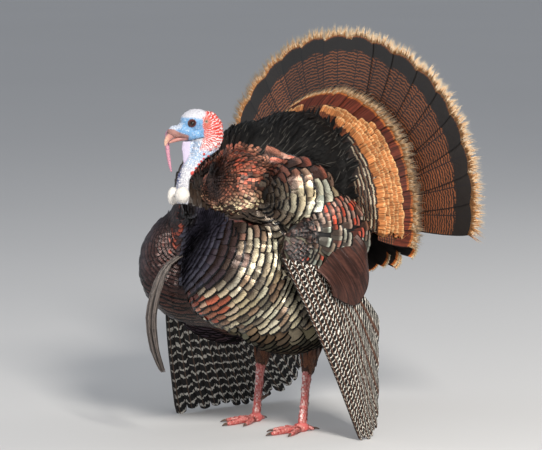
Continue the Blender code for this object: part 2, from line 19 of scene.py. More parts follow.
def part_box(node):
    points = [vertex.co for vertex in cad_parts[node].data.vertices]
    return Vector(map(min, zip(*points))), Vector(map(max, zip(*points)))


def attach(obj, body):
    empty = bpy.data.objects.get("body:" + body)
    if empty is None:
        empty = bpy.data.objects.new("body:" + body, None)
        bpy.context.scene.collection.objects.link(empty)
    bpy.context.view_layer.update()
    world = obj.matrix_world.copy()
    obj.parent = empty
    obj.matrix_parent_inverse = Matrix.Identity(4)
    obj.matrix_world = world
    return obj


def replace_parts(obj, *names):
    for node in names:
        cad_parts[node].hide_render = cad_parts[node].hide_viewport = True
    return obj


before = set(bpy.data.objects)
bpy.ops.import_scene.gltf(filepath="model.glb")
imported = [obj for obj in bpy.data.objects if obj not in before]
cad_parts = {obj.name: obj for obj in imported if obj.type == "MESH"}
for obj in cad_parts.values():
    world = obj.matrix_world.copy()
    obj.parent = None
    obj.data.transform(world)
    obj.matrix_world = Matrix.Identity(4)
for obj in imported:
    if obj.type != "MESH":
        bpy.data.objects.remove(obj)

log = logging.getLogger("turkey")
SEED = 41
ROOT_BODY = "root"
PATCH = 0.003  # a vane's size on the bake map
NUDGE = 1e-3  # how far apart two places are when a slope is taken between them

Colour = tuple[float, float, float]
Array = np.ndarray
Value = Union[float, "Sock"]
Field = Callable[[Array], Array]
Toner = Callable[[Array, np.random.Generator], Array]
Spacing = Callable[[Array], tuple[Array, Array]]
Place = tuple[float, float, float]

# ------------------------------------------------------------------ the bird's own axes
# Places below are measured from a bird whose eyes sit at EYE_AT; STAND moves them to the
# model, whose box stands centred on the origin.
EYE_AT = Vector((0.010, -0.262, 0.7005))


def middle(node: str) -> Vector:
    """The centre of a node's box."""
    low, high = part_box(node)
    return (low + high) / 2


STAND = (middle("eye_left") + middle("eye_right")) / 2 - EYE_AT
STAND.z = 0.0
SHIFT = np.array(STAND)

HEAD_YAW = math.radians(-30)
HEAD = (
    Matrix.Translation(EYE_AT + STAND)
    @ Matrix.Rotation(HEAD_YAW, 4, "Z")
    @ Matrix.Rotation(-math.pi / 2, 4, "Z")
)
FAN_ROOT = Vector((0.0, 0.175, 0.470))
FAN_TWIST = math.radians(7)
FAN_LEAN = math.radians(2)
FAN = (
    Matrix.Translation(FAN_ROOT + STAND)
    @ Matrix.Rotation(FAN_TWIST, 4, "Z")
    @ Matrix.Rotation(-FAN_LEAN, 4, "X")
)
FAN_RADIUS = 0.428
FAN_DISH = 0.018
SIDES = {"left": 1, "right": -1}


def rgb(red: float, green: float, blue: float) -> Colour:
    """A colour given as 0-255 display values, as linear light.

    Args:
        red: 0 to 255.
        green: 0 to 255.
        blue: 0 to 255.

    Returns:
        Three shares from 0 to 1.
    """
    return tuple(
        c / 12.92 if c <= 0.04045 else ((c + 0.055) / 1.055) ** 2.4
        for c in (red / 255, green / 255, blue / 255)
    )


def carried(matrix: Matrix, points: Array) -> Array:
    """Points moved by a 4x4 placing matrix."""
    m = np.array(matrix)
    return points @ m[:3, :3].T + m[:3, 3]


def step(low: float, high: float, value: Array) -> Array:
    """A smooth rise from 0 at low to 1 at high."""
    t = np.clip((value - low) / (high - low), 0, 1)
    return t * t * (3 - 2 * t)


def blend(mask: Array, under: Array, over: Colour) -> Array:
    """Colours moved towards another by a mask per row."""
    return under * (1 - mask[:, None]) + np.array(over) * mask[:, None]


def filled(colour: Colour, count: int) -> Array:
    """Rows of one colour."""
    return np.tile(colour, (count, 1))


def unit(vectors: Array) -> Array:
    """Rows scaled to length 1."""
    return vectors / np.maximum(np.linalg.norm(vectors, axis=-1, keepdims=True), 1e-9)


def grain(points: Array, scale: float) -> Array:
    """Smooth noise from -1 to 1 at each point."""
    return np.array([noise.noise(Vector(p) * scale) for p in points])


def pebbles(points: Array, scale: float) -> Array:
    """Rounded cells, 1 at their middles and 0 between them."""
    return np.array([1 - min(1.0, noise.voronoi(Vector(p) * scale)[0][0] * 1.5) for p in points])


def mirror(p: Array) -> Array:
    """Points brought to the bird's left side."""
    return p * np.sign(p[:, :1] + 1e-9) * np.array([1, 0, 0]) + p * np.array([0, 1, 1])


# ------------------------------------------------------------------ modelling helpers
def deselect() -> None:
    """Leaves edit mode and selects nothing."""
    if bpy.context.object and bpy.context.object.mode != "OBJECT":
        bpy.ops.object.mode_set(mode="OBJECT")
    bpy.ops.object.select_all(action="DESELECT")


def pick(obj: bpy.types.Object) -> None:
    """Makes one object the only selected and the active one.

    Args:
        obj: The object.
    """
    deselect()
    obj.select_set(True)
    bpy.context.view_layer.objects.active = obj


@contextmanager
def editing(obj: bpy.types.Object) -> Iterator[None]:
    """Edit mode on one object, with everything selected.

    Args:
        obj: The object.

    Returns:
        A context that edit mode ends with.
    """
    pick(obj)
    bpy.ops.object.mode_set(mode="EDIT")
    bpy.ops.mesh.select_all(action="SELECT")
    yield
    bpy.ops.object.mode_set(mode="OBJECT")


def apply_all(obj: bpy.types.Object) -> bpy.types.Object:
    """Applies every modifier of an object in order.

    Args:
        obj: The object.

    Returns:
        The same object.
    """
    pick(obj)
    for modifier in list(obj.modifiers):
        bpy.ops.object.modifier_apply(modifier=modifier.name)
    return obj


def copy_of(nodes: Sequence[str], name: str) -> bpy.types.Object:
    """One new object with copies of some CAD nodes, their doubles merged.

    Args:
        nodes: Names of the nodes.
        name: The object's name.

    Returns:
        The new object.
    """
    twins = [bpy.data.objects.new(name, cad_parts[node].data.copy()) for node in nodes]
    for twin in twins:
        bpy.context.scene.collection.objects.link(twin)
    obj = joined(twins)
    obj.data.materials.clear()
    for old in [a.name for a in obj.data.attributes if not a.is_required]:
        found = obj.data.attributes.get(old)
        if found:
            obj.data.attributes.remove(found)
    with editing(obj):
        bpy.ops.mesh.remove_doubles(threshold=1e-5)
    obj.name = name
    return obj


def joined(parts: Sequence[bpy.types.Object]) -> bpy.types.Object:
    """Several objects made one, which is the first of them.

    Args:
        parts: The objects.

    Returns:
        The first of them, with the faces of all.
    """
    pick(parts[0])
    for part in parts:
        part.select_set(True)
    bpy.ops.object.join()
    return bpy.context.object


def remeshed(obj: bpy.types.Object, voxel: float, rounds: int) -> bpy.types.Object:
    """Fuses an object's solids into one smooth skin.

    Args:
        obj: The object.
        voxel: Size of the cells it is rebuilt from.
        rounds: How often it is smoothed.

    Returns:
        The same object.
    """
    fuse = obj.modifiers.new("Fuse", "REMESH")
    fuse.mode = "VOXEL"
    fuse.voxel_size = voxel
    soften = obj.modifiers.new("Soften", "SMOOTH")
    soften.factor = 0.5
    soften.iterations = rounds
    return apply_all(obj)


def points_of(obj: bpy.types.Object) -> Array:
    """The vertices of a mesh object as an (N, 3) array.

    Args:
        obj: The object.

    Returns:
        One row per vertex.
    """
    co = np.empty(len(obj.data.vertices) * 3, np.float32)
    obj.data.vertices.foreach_get("co", co)
    return co.reshape(-1, 3).astype(float)


def normals_of(obj: bpy.types.Object) -> Array:
    """The vertex normals of a mesh object as an (N, 3) array."""
    return np.array([n.vector for n in obj.data.vertex_normals], float)


def set_points(obj: bpy.types.Object, points: Array) -> None:
    """Moves the vertices of a mesh object."""
    obj.data.vertices.foreach_set("co", points.astype(np.float32).ravel())
    obj.data.update()


def smooth(obj: bpy.types.Object) -> None:
    """Shades every face of a mesh object smooth."""
    obj.data.polygons.foreach_set("use_smooth", np.ones(len(obj.data.polygons), bool))


def faces_of(obj: bpy.types.Object) -> Array:
    """The faces of a mesh object whose faces all have one number of corners."""
    return np.array([list(p.vertices) for p in obj.data.polygons])


class Kind(Enum):
    """How an attribute is stored."""

    COLOUR = "FLOAT_COLOR"
    VECTOR = "FLOAT_VECTOR"


def set_attribute(mesh: bpy.types.Mesh, name: str, kind: Kind, values: Array) -> None:
    """Writes one value per vertex.

    Args:
        mesh: The mesh to write to.
        name: The attribute's name.
        kind: How it is stored.
        values: One row per vertex; colours are given without alpha.
    """
    layer = mesh.attributes.new(name, kind.value, "POINT")
    if kind is Kind.COLOUR:
        values = np.hstack([values, np.ones((len(values), 1))])
    slot_name = "color" if kind is Kind.COLOUR else "vector"
    layer.data.foreach_set(slot_name, np.ascontiguousarray(values, np.float32).ravel())


def mesh_object(name: str, points: Array, faces: Array) -> bpy.types.Object:
    """A new mesh object from arrays, shaded smooth.

    Args:
        name: The object's name.
        points: (N, 3) places.
        faces: (M, K) indices of points.

    Returns:
        The object, linked to the scene.
    """
    data = bpy.data.meshes.new(name)
    data.vertices.add(len(points))
    data.vertices.foreach_set("co", points.astype(np.float32).ravel())
    data.loops.add(faces.size)
    data.loops.foreach_set("vertex_index", faces.astype(np.int32).ravel())
    data.polygons.add(len(faces))
    width = faces.shape[1]
    data.polygons.foreach_set("loop_start", np.arange(0, faces.size, width, dtype=np.int32))
    data.update(calc_edges=True)
    obj = bpy.data.objects.new(name, data)
    smooth(obj)
    bpy.context.scene.collection.objects.link(obj)
    return obj


# ------------------------------------------------------------------ shader maths
class Sock:
    """A shader socket that can be used in arithmetic."""

    def __init__(self, paint: "Paint", socket: bpy.types.NodeSocket) -> None:
        """Keeps the material being mixed and the socket in it."""
        self.paint = paint
        self.socket = socket

    def maths(self, operation: str, first: Value, second: Value = 0.0) -> "Sock":
        """One Math node."""
        return self.paint.node("Math", {"operation": operation}, {0: first, 1: second})

    def sine(self) -> "Sock":
        """Its sine."""
        return self.maths("SINE", self)

    def __add__(self, other: Value) -> "Sock":
        """Sum."""
        return self.maths("ADD", self, other)

    __radd__ = __add__

    def __sub__(self, other: Value) -> "Sock":
        """Difference."""
        return self.maths("SUBTRACT", self, other)

    def __rsub__(self, other: Value) -> "Sock":
        """Difference from a number."""
        return self.maths("SUBTRACT", other, self)

    def __mul__(self, other: Value) -> "Sock":
        """Product."""
        return self.maths("MULTIPLY", self, other)

    __rmul__ = __mul__

    def __abs__(self) -> "Sock":
        """Size without sign."""
        return self.maths("ABSOLUTE", self)


class Paint:
    """A procedural material being mixed."""

    def __init__(self, name: str) -> None:
        """An empty material.

        Args:
            name: The material's name.
        """
        self.material = bpy.data.materials.new(name)
        self.material.use_nodes = True
        self.tree = self.material.node_tree
        self.tree.nodes.clear()

    def node(self, kind: str, settings: dict[str, Any], values: dict[Any, Any], out: Any = 0) -> Sock:
        """Adds a node.

        Args:
            kind: Node type without its ShaderNode prefix.
            settings: Properties, set before anything is linked.
            values: Numbers or sockets by input name or number.
            out: The output wanted.

        Returns:
            That output.
        """
        made = self.tree.nodes.new("ShaderNode" + kind)
        for key, value in settings.items():
            setattr(made, key, value)
        for key, value in values.items():
            if isinstance(value, Sock):
                self.tree.links.new(value.socket, made.inputs[key])
            else:
                made.inputs[key].default_value = value
        return Sock(self, made.outputs[out])

    def read(self, name: str) -> Sock:
        """A named attribute as a vector."""
        return self.node("Attribute", {"attribute_name": name}, {}, "Vector")

    def tint(self, name: str) -> Sock:
        """A named attribute as a colour."""
        return self.node("Attribute", {"attribute_name": name}, {}, "Color")

    def part(self, vector: Sock, axis: int) -> Sock:
        """One component of a vector."""
        return self.node("SeparateXYZ", {}, {0: vector}, axis)

    def vector(self, x: Value, y: Value, z: Value) -> Sock:
        """A vector from three numbers or sockets."""
        return self.node("CombineXYZ", {}, {0: x, 1: y, 2: z})

    def place(self) -> Sock:
        """Object coordinates."""
        return self.node("TexCoord", {}, {}, "Object")

    def noise(self, vector: Sock, scale: float, detail: float = 2.0, rough: float = 0.5) -> Sock:
        """Smooth noise from 0 to 1.

        Args:
            vector: Where it is read.
            scale: How many lumps there are to a metre.
            detail: How many finer layers it has.
            rough: How strong the finer layers are.

        Returns:
            A value from 0 to 1.
        """
        return self.node(
            "TexNoise", {}, {"Vector": vector, "Scale": scale, "Detail": detail, "Roughness": rough}
        )

    def cells(self, vector: Sock, scale: float) -> Sock:
        """Distance to the nearest of scattered points."""
        return self.node("TexVoronoi", {}, {"Vector": vector, "Scale": scale})

    def rise(self, value: Sock, low: Value, high: Value) -> Sock:
        """A smooth rise from 0 at low to 1 at high.

        Args:
            value: The value that is compared.
            low: Where the rise starts.
            high: Where it ends.

        Returns:
            A value from 0 to 1.
        """
        return self.node(
            "MapRange", {"interpolation_type": "SMOOTHSTEP"},
            {"Value": value, "From Min": low, "From Max": high},
        )

    def mix(self, share: Value, first: Any, second: Any, way: str = "MIX") -> Sock:
        """Two colours mixed.

        Args:
            share: How much of the second there is.
            first: The colour at a share of 0.
            second: The colour at a share of 1.
            way: How they are mixed.

        Returns:
            The mixed colour.
        """
        settings = {"data_type": "RGBA", "blend_type": way, "clamp_result": False}
        first, second = opaque(first), opaque(second)
        return self.node("Mix", settings, {0: share, 6: first, 7: second}, 2)

    def grey(self, value: Sock) -> Sock:
        """A number as a colour."""
        return self.node("CombineColor", {}, {0: value, 1: value, 2: value})

    def dim(self, colour: Any, light: Sock) -> Sock:
        """A colour times a number."""
        return self.mix(1.0, colour, self.grey(light), "MULTIPLY")

    def bump(self, height: Sock, depth: float, strength: float = 1.0) -> Sock:
        """A normal from a height."""
        return self.node("Bump", {}, {"Height": height, "Distance": depth, "Strength": strength})

    def done(self, colour: Any, roughness: Value, normal: Optional[Sock] = None,
             metallic: Value = 0.0, **fixed: float) -> bpy.types.Material:
        """Ends the material in one Principled shader.

        Args:
            colour: Base colour, fixed or linked.
            roughness: Fixed or linked.
            normal: Normal from a bump, if any.
            metallic: Fixed or linked.
            fixed: Other inputs by name with spaces as underscores, numbers only.

        Returns:
            The material.
        """
        values = {"Base Color": opaque(colour), "Roughness": roughness, "Metallic": metallic}
        if normal is not None:
            values["Normal"] = normal
        values.update({key.replace("_", " "): value for key, value in fixed.items()})
        surface = self.node("BsdfPrincipled", {}, values)
        end = self.tree.nodes.new("ShaderNodeOutputMaterial")
        self.tree.links.new(surface.socket, end.inputs[0])
        return self.material


def opaque(colour: Any) -> Any:
    """A fixed colour with its alpha; a socket as it is."""
    return (*colour, 1.0) if isinstance(colour, tuple) else colour


# ------------------------------------------------------------------ one vane and its copies
@dataclass(frozen=True)
class Card:
    """A single modelled vane: across -1..1, along 0..1, and the side of it, below or above 0."""

    across: Array
    along: Array
    side: Array
    faces: Array


def model_card(columns: int, rows: int) -> Card:
    """Models a vane as an upper and a lower sheet, some faces across and along.

    Args:
        columns: Faces across it.
        rows: Faces from root to tip.

    Returns:
        Its points and faces.
    """
    deselect()
    bpy.ops.mesh.primitive_grid_add(x_subdivisions=columns, y_subdivisions=rows, size=2)
    obj = bpy.context.object
    with editing(obj):
        bpy.ops.transform.translate(value=(0, 0, 1))
        bpy.ops.mesh.duplicate()
        bpy.ops.transform.resize(value=(1, 1, -1), center_override=(0, 0, 0))
        bpy.ops.mesh.select_all(action="SELECT")
        bpy.ops.mesh.normals_make_consistent(inside=False)
    co, faces = taken(obj)
    return Card(co[:, 0], (co[:, 1] + 1) / 2, np.round(co[:, 2]), faces)


def taken(obj: bpy.types.Object) -> tuple[Array, Array]:
    """The points and faces of a model, which is removed.

    Args:
        obj: The model.

    Returns:
        Its points and its faces.
    """
    found = points_of(obj), faces_of(obj)
    bpy.data.objects.remove(obj)
    return found


def model_barb() -> Card:
    """Models one loose barb as a three-sided spike along Y.

    Returns:
        Its points and faces.
    """
    deselect()
    bpy.ops.mesh.primitive_cone_add(vertices=3, radius1=1, depth=1, end_fill_type="NGON")
    obj = bpy.context.object
    with editing(obj):
        bpy.ops.mesh.quads_convert_to_tris()
    co, faces = taken(obj)
    return Card(co[:, 0], co[:, 2] + 0.5, co[:, 1], faces)


@dataclass(frozen=True)
class Shape:
    """A vane's outline: half width along it, and how its end is rounded."""

    root: float = 0.35  # half width at the root, as a share of the widest
    widest: float = 0.65  # where it is widest
    tip: float = 0.7  # half width at the tip, as a share
    bow: float = 0.6  # how far the tip's corners fall back, in half widths

    def width(self, along: Array) -> Array:
        """Share of the full half width at places from root to tip.

        Args:
            along: Places from 0 at the root to 1 at the tip.

        Returns:
            Shares from 0 to 1.
        """
        rising = self.root + (1 - self.root) * np.sin(np.clip(along / self.widest, 0, 1) * np.pi / 2)
        past = np.clip((along - self.widest) / (1 - self.widest), 0, 1)
        return rising * (self.tip + (1 - self.tip) * np.sqrt(np.clip(1 - past**2, 0, 1)))


class Plume:
    """Vanes gathered into one piece."""

    def __init__(self) -> None:
        """Nothing gathered yet."""
        self.points: list[Array] = []
        self.faces: list[Array] = []
        self.vane: list[Array] = []
        self.span: list[Array] = []
        self.tone: list[Array] = []
        self.map: list[Array] = []
        self.count = 0

    def add(self, card: Card, points: Array, half: Array, from_tip: Array, length: Array,
            seed: Array, tone: Array, patch: Array) -> None:
        """Adds copies of a card.

        Args:
            card: The vane that was copied.
            points: (N, V, 3) places.
            half: (N, V) half width at each point.
            from_tip: (N, V) distance from the tip.
            length: (N,) lengths.
            seed: (N,) a number from 0 to 1 for each vane.
            tone: (N, 3) or (N, V, 3) colours.
            patch: (N, V, 2) places on the bake map.
        """
        n, v = points.shape[:2]
        base = self.count + np.arange(n)[:, None, None] * v
        across, along, seed, reach = [np.broadcast_to(a, (n, v)) for a in
                                      (card.across, card.along, seed[:, None], length[:, None])]
        tone = tone if tone.ndim == 3 else np.broadcast_to(tone[:, None, :], (n, v, 3))
        self.points.append(points.reshape(-1, 3))
        self.faces.append((card.faces[None] + base).reshape(-1, card.faces.shape[1]))
        self.vane.append(np.stack([across, along, seed], -1).reshape(-1, 3))
        self.span.append(np.stack([across * half, from_tip, reach], -1).reshape(-1, 3))
        self.tone.append(tone.reshape(-1, 3))
        self.map.append(patch.reshape(-1, 2))
        self.count += n * v

    def piece(self, name: str, material: bpy.types.Material, slot: str) -> bpy.types.Object:
        """Makes the gathered vanes one piece with a finish.

        Args:
            name: The piece's name.
            material: Its finish.
            slot: Not used.

        Returns:
            The object, riding on the root body.
        """
        obj = mesh_object(name, np.vstack(self.points), np.vstack(self.faces))
        for layer_name, kind, rows in (("vane", Kind.VECTOR, self.vane), ("span", Kind.VECTOR, self.span),
                                       ("tone", Kind.COLOUR, self.tone)):
            set_attribute(obj.data, layer_name, kind, np.vstack(rows))
        layer = obj.data.uv_layers.new(name="OFBake")
        spots = np.vstack(self.map)[np.concatenate([f.ravel() for f in self.faces])]
        layer.data.foreach_set("uv", np.clip(spots, 0, 1).astype(np.float32).ravel())
        return dressed(obj, material)


def dressed(obj: bpy.types.Object, material: bpy.types.Material) -> bpy.types.Object:
    """Gives a piece its finish and body, and reports it.

    Args:
        obj: The piece.
        material: Its finish.

    Returns:
        The same object.
    """
    obj.data.materials.clear()
    obj.data.materials.append(material)
    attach(obj, ROOT_BODY)
    triangles = sum(len(p.vertices) - 2 for p in obj.data.polygons)
    log.info("%s: %d triangles", obj.name, triangles)
    return obj


# ------------------------------------------------------------------ the skin as ground for vanes
class Ground:
    """A surface that vanes stand on: smooth normals, rows along a field, and a bake map."""

    def __init__(self, obj: bpy.types.Object, owner: Callable[[Array], Array]) -> None:
        """Reads a part of the skin.

        Args:
            obj: The part of the skin.
            owner: What gives the kind of solid at each place.
        """
        data = obj.data
        self.points = points_of(obj)
        self.normals = normals_of(obj)
        polygons = [tuple(p.vertices) for p in data.polygons]
        self.tree = BVHTree.FromPolygons([tuple(p) for p in self.points], polygons)
        self.corner = np.array([p[0] for p in polygons])
        self.face_normals = unit(np.array([self.normals[list(p)].mean(0) for p in polygons]))
        edges = np.empty(len(data.edges) * 2, np.int32)
        data.edges.foreach_get("vertices", edges)
        self.edges = edges.reshape(-1, 2)
        self.owner = owner(self.points)
        self.spot = np.zeros((len(self.points), 2))

    def settle(self, points: Array) -> tuple[Array, Array, Array]:
        """The nearest places on the surface, their normals and the faces they lie on.

        Args:
            points: (N, 3) places.

        Returns:
            Places, normals and faces of the surface.
        """
        places, faces = np.empty_like(points), np.empty(len(points), int)
        for index, point in enumerate(points):
            places[index], _, faces[index], _ = self.tree.find_nearest(point)
        return places, self.face_normals[faces], faces

    def row(self, field_at: Array, level: float, keep: Array, angle_at: Array) -> tuple[Array, Array]:
        """The places where a field has one value, in order of an angle.

        Args:
            field_at: The field at every vertex.
            level: The value wanted.
            keep: Which vertices may take part.
            angle_at: The angle at every vertex.

        Returns:
            Places and normals along the row.
        """
        a, b = self.edges[:, 0], self.edges[:, 1]
        fa, fb = field_at[a] - level, field_at[b] - level
        cross = (fa * fb < 0) & keep[a] & keep[b]
        a, b, fa, fb = a[cross], b[cross], fa[cross], fb[cross]
        share = (fa / (fa - fb))[:, None]
        order = np.argsort(angle_at[a] * (1 - share[:, 0]) + angle_at[b] * share[:, 0])
        places = self.points[a] * (1 - share) + self.points[b] * share
        normals = unit(self.normals[a] * (1 - share) + self.normals[b] * share)
        return places[order], normals[order]


def softened(line: Array, reach: int) -> Array:
    """A line of points with its zigzag averaged away.

    Args:
        line: (N, 3) places in order.
        reach: How many neighbours count on either side.

    Returns:
        The smoother line.
    """
    total = np.zeros_like(line)
    for offset in range(-reach, reach + 1):
        index = np.clip(np.arange(len(line)) + offset, 0, len(line) - 1)
        total += line[index]
    return total / (2 * reach + 1)


@dataclass
class Tract:
    """One region of the plumage, whose vanes follow one field.

    Fields are functions of places measured as EYE_AT is. The vanes point to where flow grows.
    """

    flow: Field
    turn: Field  # what each row is ordered by
    region: Callable[[Array, Array, Array], Array]  # of places, normals and owners
    levels: tuple[float, float]
    spacing: Spacing  # row step and pitch along a row
    tone: Toner
    shape: Shape
    reach: float = 2.3  # length, in row steps
    girth: float = 0.66  # half width, in pitches
    depth: float = 0.006  # how high the tips stand over the skin
    thick: float = 0.0005
    camber: float = 0.10
    wander: float = 0.06
    tilt: float = 0.08  # how unevenly vanes are turned about their length
    tucked: float = 0.2  # share of the length that starts behind the root's place
    lift: float = 0.0006  # how high the roots stand
    overlap: float = 0.0007  # how much higher one edge is, so that neighbours lie one over another
    jitter: float = 0.0004
    empty_step: float = 0.006  # what a level without a row is raised by
    gap: float = 0.02  # a longer break in a row is passed over
    fewest: int = 6  # a row with no more points than this is left out

    def lie(self, places: Array, normals: Array) -> Array:
        """The direction vanes point in, along the surface.

        Args:
            places: (N, 3) places on the skin.
            normals: (N, 3) normals there.

        Returns:
            Directions of length 1.
        """
        slope = np.stack(
            [self.flow(places + NUDGE * axis) - self.flow(places - NUDGE * axis) for axis in np.eye(3)], -1)
        slope -= normals * np.sum(slope * normals, -1, keepdims=True)
        return unit(slope)

    def roots(self, ground: Ground, rng: np.random.Generator) -> tuple[Array, ...]:
        """Places, normals, row steps and pitches of all the vanes' roots.

        Args:
            ground: The surface that they stand on.
            rng: The source of chance.

        Returns:
            Four arrays with a row per vane.
        """
        local = ground.points - SHIFT
        field_at, turn_at = self.flow(local), self.turn(local)
        keep = self.region(local, ground.normals, ground.owner)
        found: list[tuple[Array, ...]] = []
        level, odd = self.levels[0], 0
        while level < self.levels[1]:
            places, normals = ground.row(field_at, level, keep, turn_at)
            gain = self.empty_step
            if len(places) > self.fewest:
                line = softened(places, min(4, len(places) // 8))
                rise, pitch = self.spacing(line - SHIFT)
                gaps = np.linalg.norm(np.diff(line, axis=0), axis=1)
                gaps[gaps > self.gap] = 0.0
                run = np.concatenate([[0], np.cumsum(gaps / pitch[1:])])
                marks = np.arange(0.25 + 0.5 * (odd % 2), run[-1], 1.0)
                marks = marks + rng.uniform(-0.12, 0.12, len(marks))
                index = np.clip(np.searchsorted(run, marks), 0, len(line) - 1)
                found.append((places[index], normals[index], rise[index], pitch[index]))
                gain = float(np.median(rise))
            level += gain
            odd += 1
        return tuple(np.concatenate(part) for part in zip(*found))

    def grow(self, ground: Ground, card: Card, plume: Plume, rng: np.random.Generator) -> int:
        """Adds the tract's vanes to a plume and says how many there are.

        Args:
            ground: The surface that they stand on.
            card: The vane that is copied.
            plume: What they are gathered in.
            rng: The source of chance.

        Returns:
            The number of vanes.
        """
        places, normals, rise, pitch = self.roots(ground, rng)
        n = len(places)
        lie = self.lie(places - SHIFT, normals)
        lie = unit(lie + np.cross(normals, lie) * rng.normal(0, self.wander, (n, 1)))
        side = np.cross(lie, normals)
        length = rise * self.reach * rng.uniform(0.92, 1.08, n)
        half = pitch * self.girth * rng.uniform(0.94, 1.06, n)
        x, t = card.across, card.along
        width = self.shape.width(t)
        along = length[:, None] * t - self.shape.bow * half[:, None] * (width * x) ** 2 * t**3
        across = half[:, None] * width * x
        flat = places[:, None] + lie[:, None] * (along - self.tucked * length[:, None])[..., None]
        flat = flat + side[:, None] * across[..., None]
        _, first, back = np.unique(np.round(np.stack([x, t], 1), 4), axis=0, return_index=True,
                                   return_inverse=True)
        back = back.ravel()
        spots, up, _ = ground.settle(flat[:, first].reshape(-1, 3))
        spots, up = [a.reshape(n, len(first), 3)[:, back] for a in (spots, up)]
        height = self.lift + (self.depth - self.lift) * t**1.2
        height = height + self.camber * half[:, None] * (1 - x**2) * t
        height = height + self.overlap * x + rng.uniform(-self.jitter, self.jitter, (n, 1)) * (1 + 2 * t)
        height = height + rng.normal(0, self.tilt, (n, 1)) * half[:, None] * x * t
        height = height + self.thick * card.side
        points = spots + up * height[..., None]
        tone = np.clip(self.tone(places - SHIFT, rng), 0, 1) * rng.uniform(0.85, 1.15, (n, 1))
        _, _, root_faces = ground.settle(places)
        root = ground.spot[ground.corner[root_faces]]
        patch = root[:, None] + PATCH * np.stack([x / 2, t - 0.5], -1)[None]
        fall = self.shape.bow * half[:, None] * (width * x) ** 2 * (1 - t**3)
        from_tip = np.clip(length[:, None] * (1 - t) - fall, 0, None)
        plume.add(card, points, half[:, None] * np.ones_like(x), from_tip, length, rng.random(n), tone,
                  patch)
        return n


# ------------------------------------------------------------------ finishes of the vanes
@dataclass(frozen=True)
class Zone:
    """A band across a vane, from the tip inwards; no colour means the vane's own tone."""

    until: float
    colour: Optional[Colour] = None


@dataclass(frozen=True)
class Bars:
    """Cross bars on the innermost zone."""

    pitch: float
    colour: Colour
    share: float = 0.5
    slant: float = 0.3
    ragged: float = 0.002
    soft: float = 0.35  # how gradually bar and ground meet


@dataclass(frozen=True)
class VaneFinish:
    """How a kind of vane is coloured and how it shines."""

    name: str
    zones: tuple[Zone, ...]
    soft: float = 0.0007  # how gradually zones meet
    ragged: float = 0.0012  # how far their borders wander
    bars: Optional[Bars] = None
    edge: float = 0.0  # width of the dark sides, as a share of half the width: partly the vane's own dark border, partly painted shade in the gaps between neighbours
    edge_colour: Colour = rgb(20, 18, 18)
    shaft: Optional[Colour] = None
    shaft_half: float = 0.0005
    streak: float = 0.5  # how strongly the barbs show
    fine: float = 420.0  # how fine they are
    roughness: float = 0.42
    metallic: float = 0.0
    relief: float = 0.0005
    shade: Optional[tuple[float, float, float]] = None  # from, to, and the share of colour left there
    base: Colour = rgb(44, 31, 26)  # what the shaded root turns to
    gloss: float = 0.5
    shaft_at: float = 0.0  # where the shaft stands, as a share of half the width
    wide: float = 0.0  # that half width, where the shaft is off the middle
    shaft_and_glint_share: float = 1.0  # how many vanes show their shaft; on the back these pale lines are painted glints, a painted highlight
    vary: bool = False  # whether the vane's own tone darkens or lightens the fixed colours
    comb: float = 0.0  # how fine the streaks along the vane are

    def make(self) -> bpy.types.Material:
        """Builds the material from the vane and span attributes.

        Returns:
            The material.
        """
        paint = Paint(self.name)
        span, vane = paint.read("span"), paint.read("vane")
        beside, tip, seed = paint.part(span, 0), paint.part(span, 1), paint.part(vane, 2)
        if self.shaft_at:
            beside = (paint.part(vane, 0) - self.shaft_at) * self.wide
        across, side = abs(beside), abs(paint.part(vane, 0))
        own = paint.tint("tone")
        barb = tip + across * 0.8
        strand = paint.noise(paint.vector(barb * self.fine, across * 60, seed * 97), 1.0, 3.0, 0.6)
        wobble = (paint.noise(paint.vector(across * 300, seed * 53, 0.0), 1.0) - 0.5) * (2 * self.ragged)
        edge_tip = tip + wobble + (strand - 0.5) * self.ragged
        colour: Any = self.zones[-1].colour or own
        if self.shade:
            start, end, left = self.shade
            colour = paint.mix(paint.rise(tip, start, end) * (1 - left), colour, self.base)
        if self.bars:
            bars = self.bars
            drift = paint.noise(paint.vector(beside * 130, tip * 90, seed * 31), 1.0) - 0.5
            bent = tip + across * bars.slant + drift * (3 * bars.ragged) + seed * (bars.pitch * 3)
            wave = (bent * (2 * math.pi / bars.pitch)).sine() + (strand - 0.5) * (2 * bars.soft)
            middle = 1 - 2 * bars.share
            mask = paint.rise(wave, middle - bars.soft, middle + bars.soft)
            colour = paint.mix(mask, colour, bars.colour)
        for zone in reversed(self.zones[:-1]):
            mask = 1 - paint.rise(edge_tip, zone.until - self.soft, zone.until + self.soft)
            colour = paint.mix(mask, colour, zone.colour or own)
        # Dark sides: partly the vane's own border, partly painted shade in the gaps between neighbours.
        if self.edge:
            mask = paint.rise(side, 1 - self.edge, 1 - 0.3 * self.edge)
            colour = paint.mix(mask, colour, self.edge_colour)
        if self.shaft:
            line = 1 - paint.rise(across, 0.5 * self.shaft_half, 1.5 * self.shaft_half)
            if self.shaft_and_glint_share < 1:
                line = line * paint.rise(seed, 0.99 - self.shaft_and_glint_share, 1.01 - self.shaft_and_glint_share)
            colour = paint.mix(line, colour, self.shaft)
        colour = paint.dim(colour, (1 - self.streak / 2) + strand * self.streak)
        if self.vary:
            colour = paint.mix(1.0, colour, own, "MULTIPLY")
        if self.comb:
            comb = paint.noise(paint.vector(beside * self.comb, tip * 18, seed * 61), 1.0, 2.0, 0.6)
            colour = paint.dim(colour, paint.rise(comb, 0.30, 0.70) * 1.1 + 0.45)
        rough = self.roughness + (strand - 0.5) * 0.2
        normal = paint.bump((barb * 7000).sine() * 0.15 + strand, self.relief, 0.5)
        return paint.done(colour, rough, normal, self.metallic, Specular_IOR_Level=self.gloss)


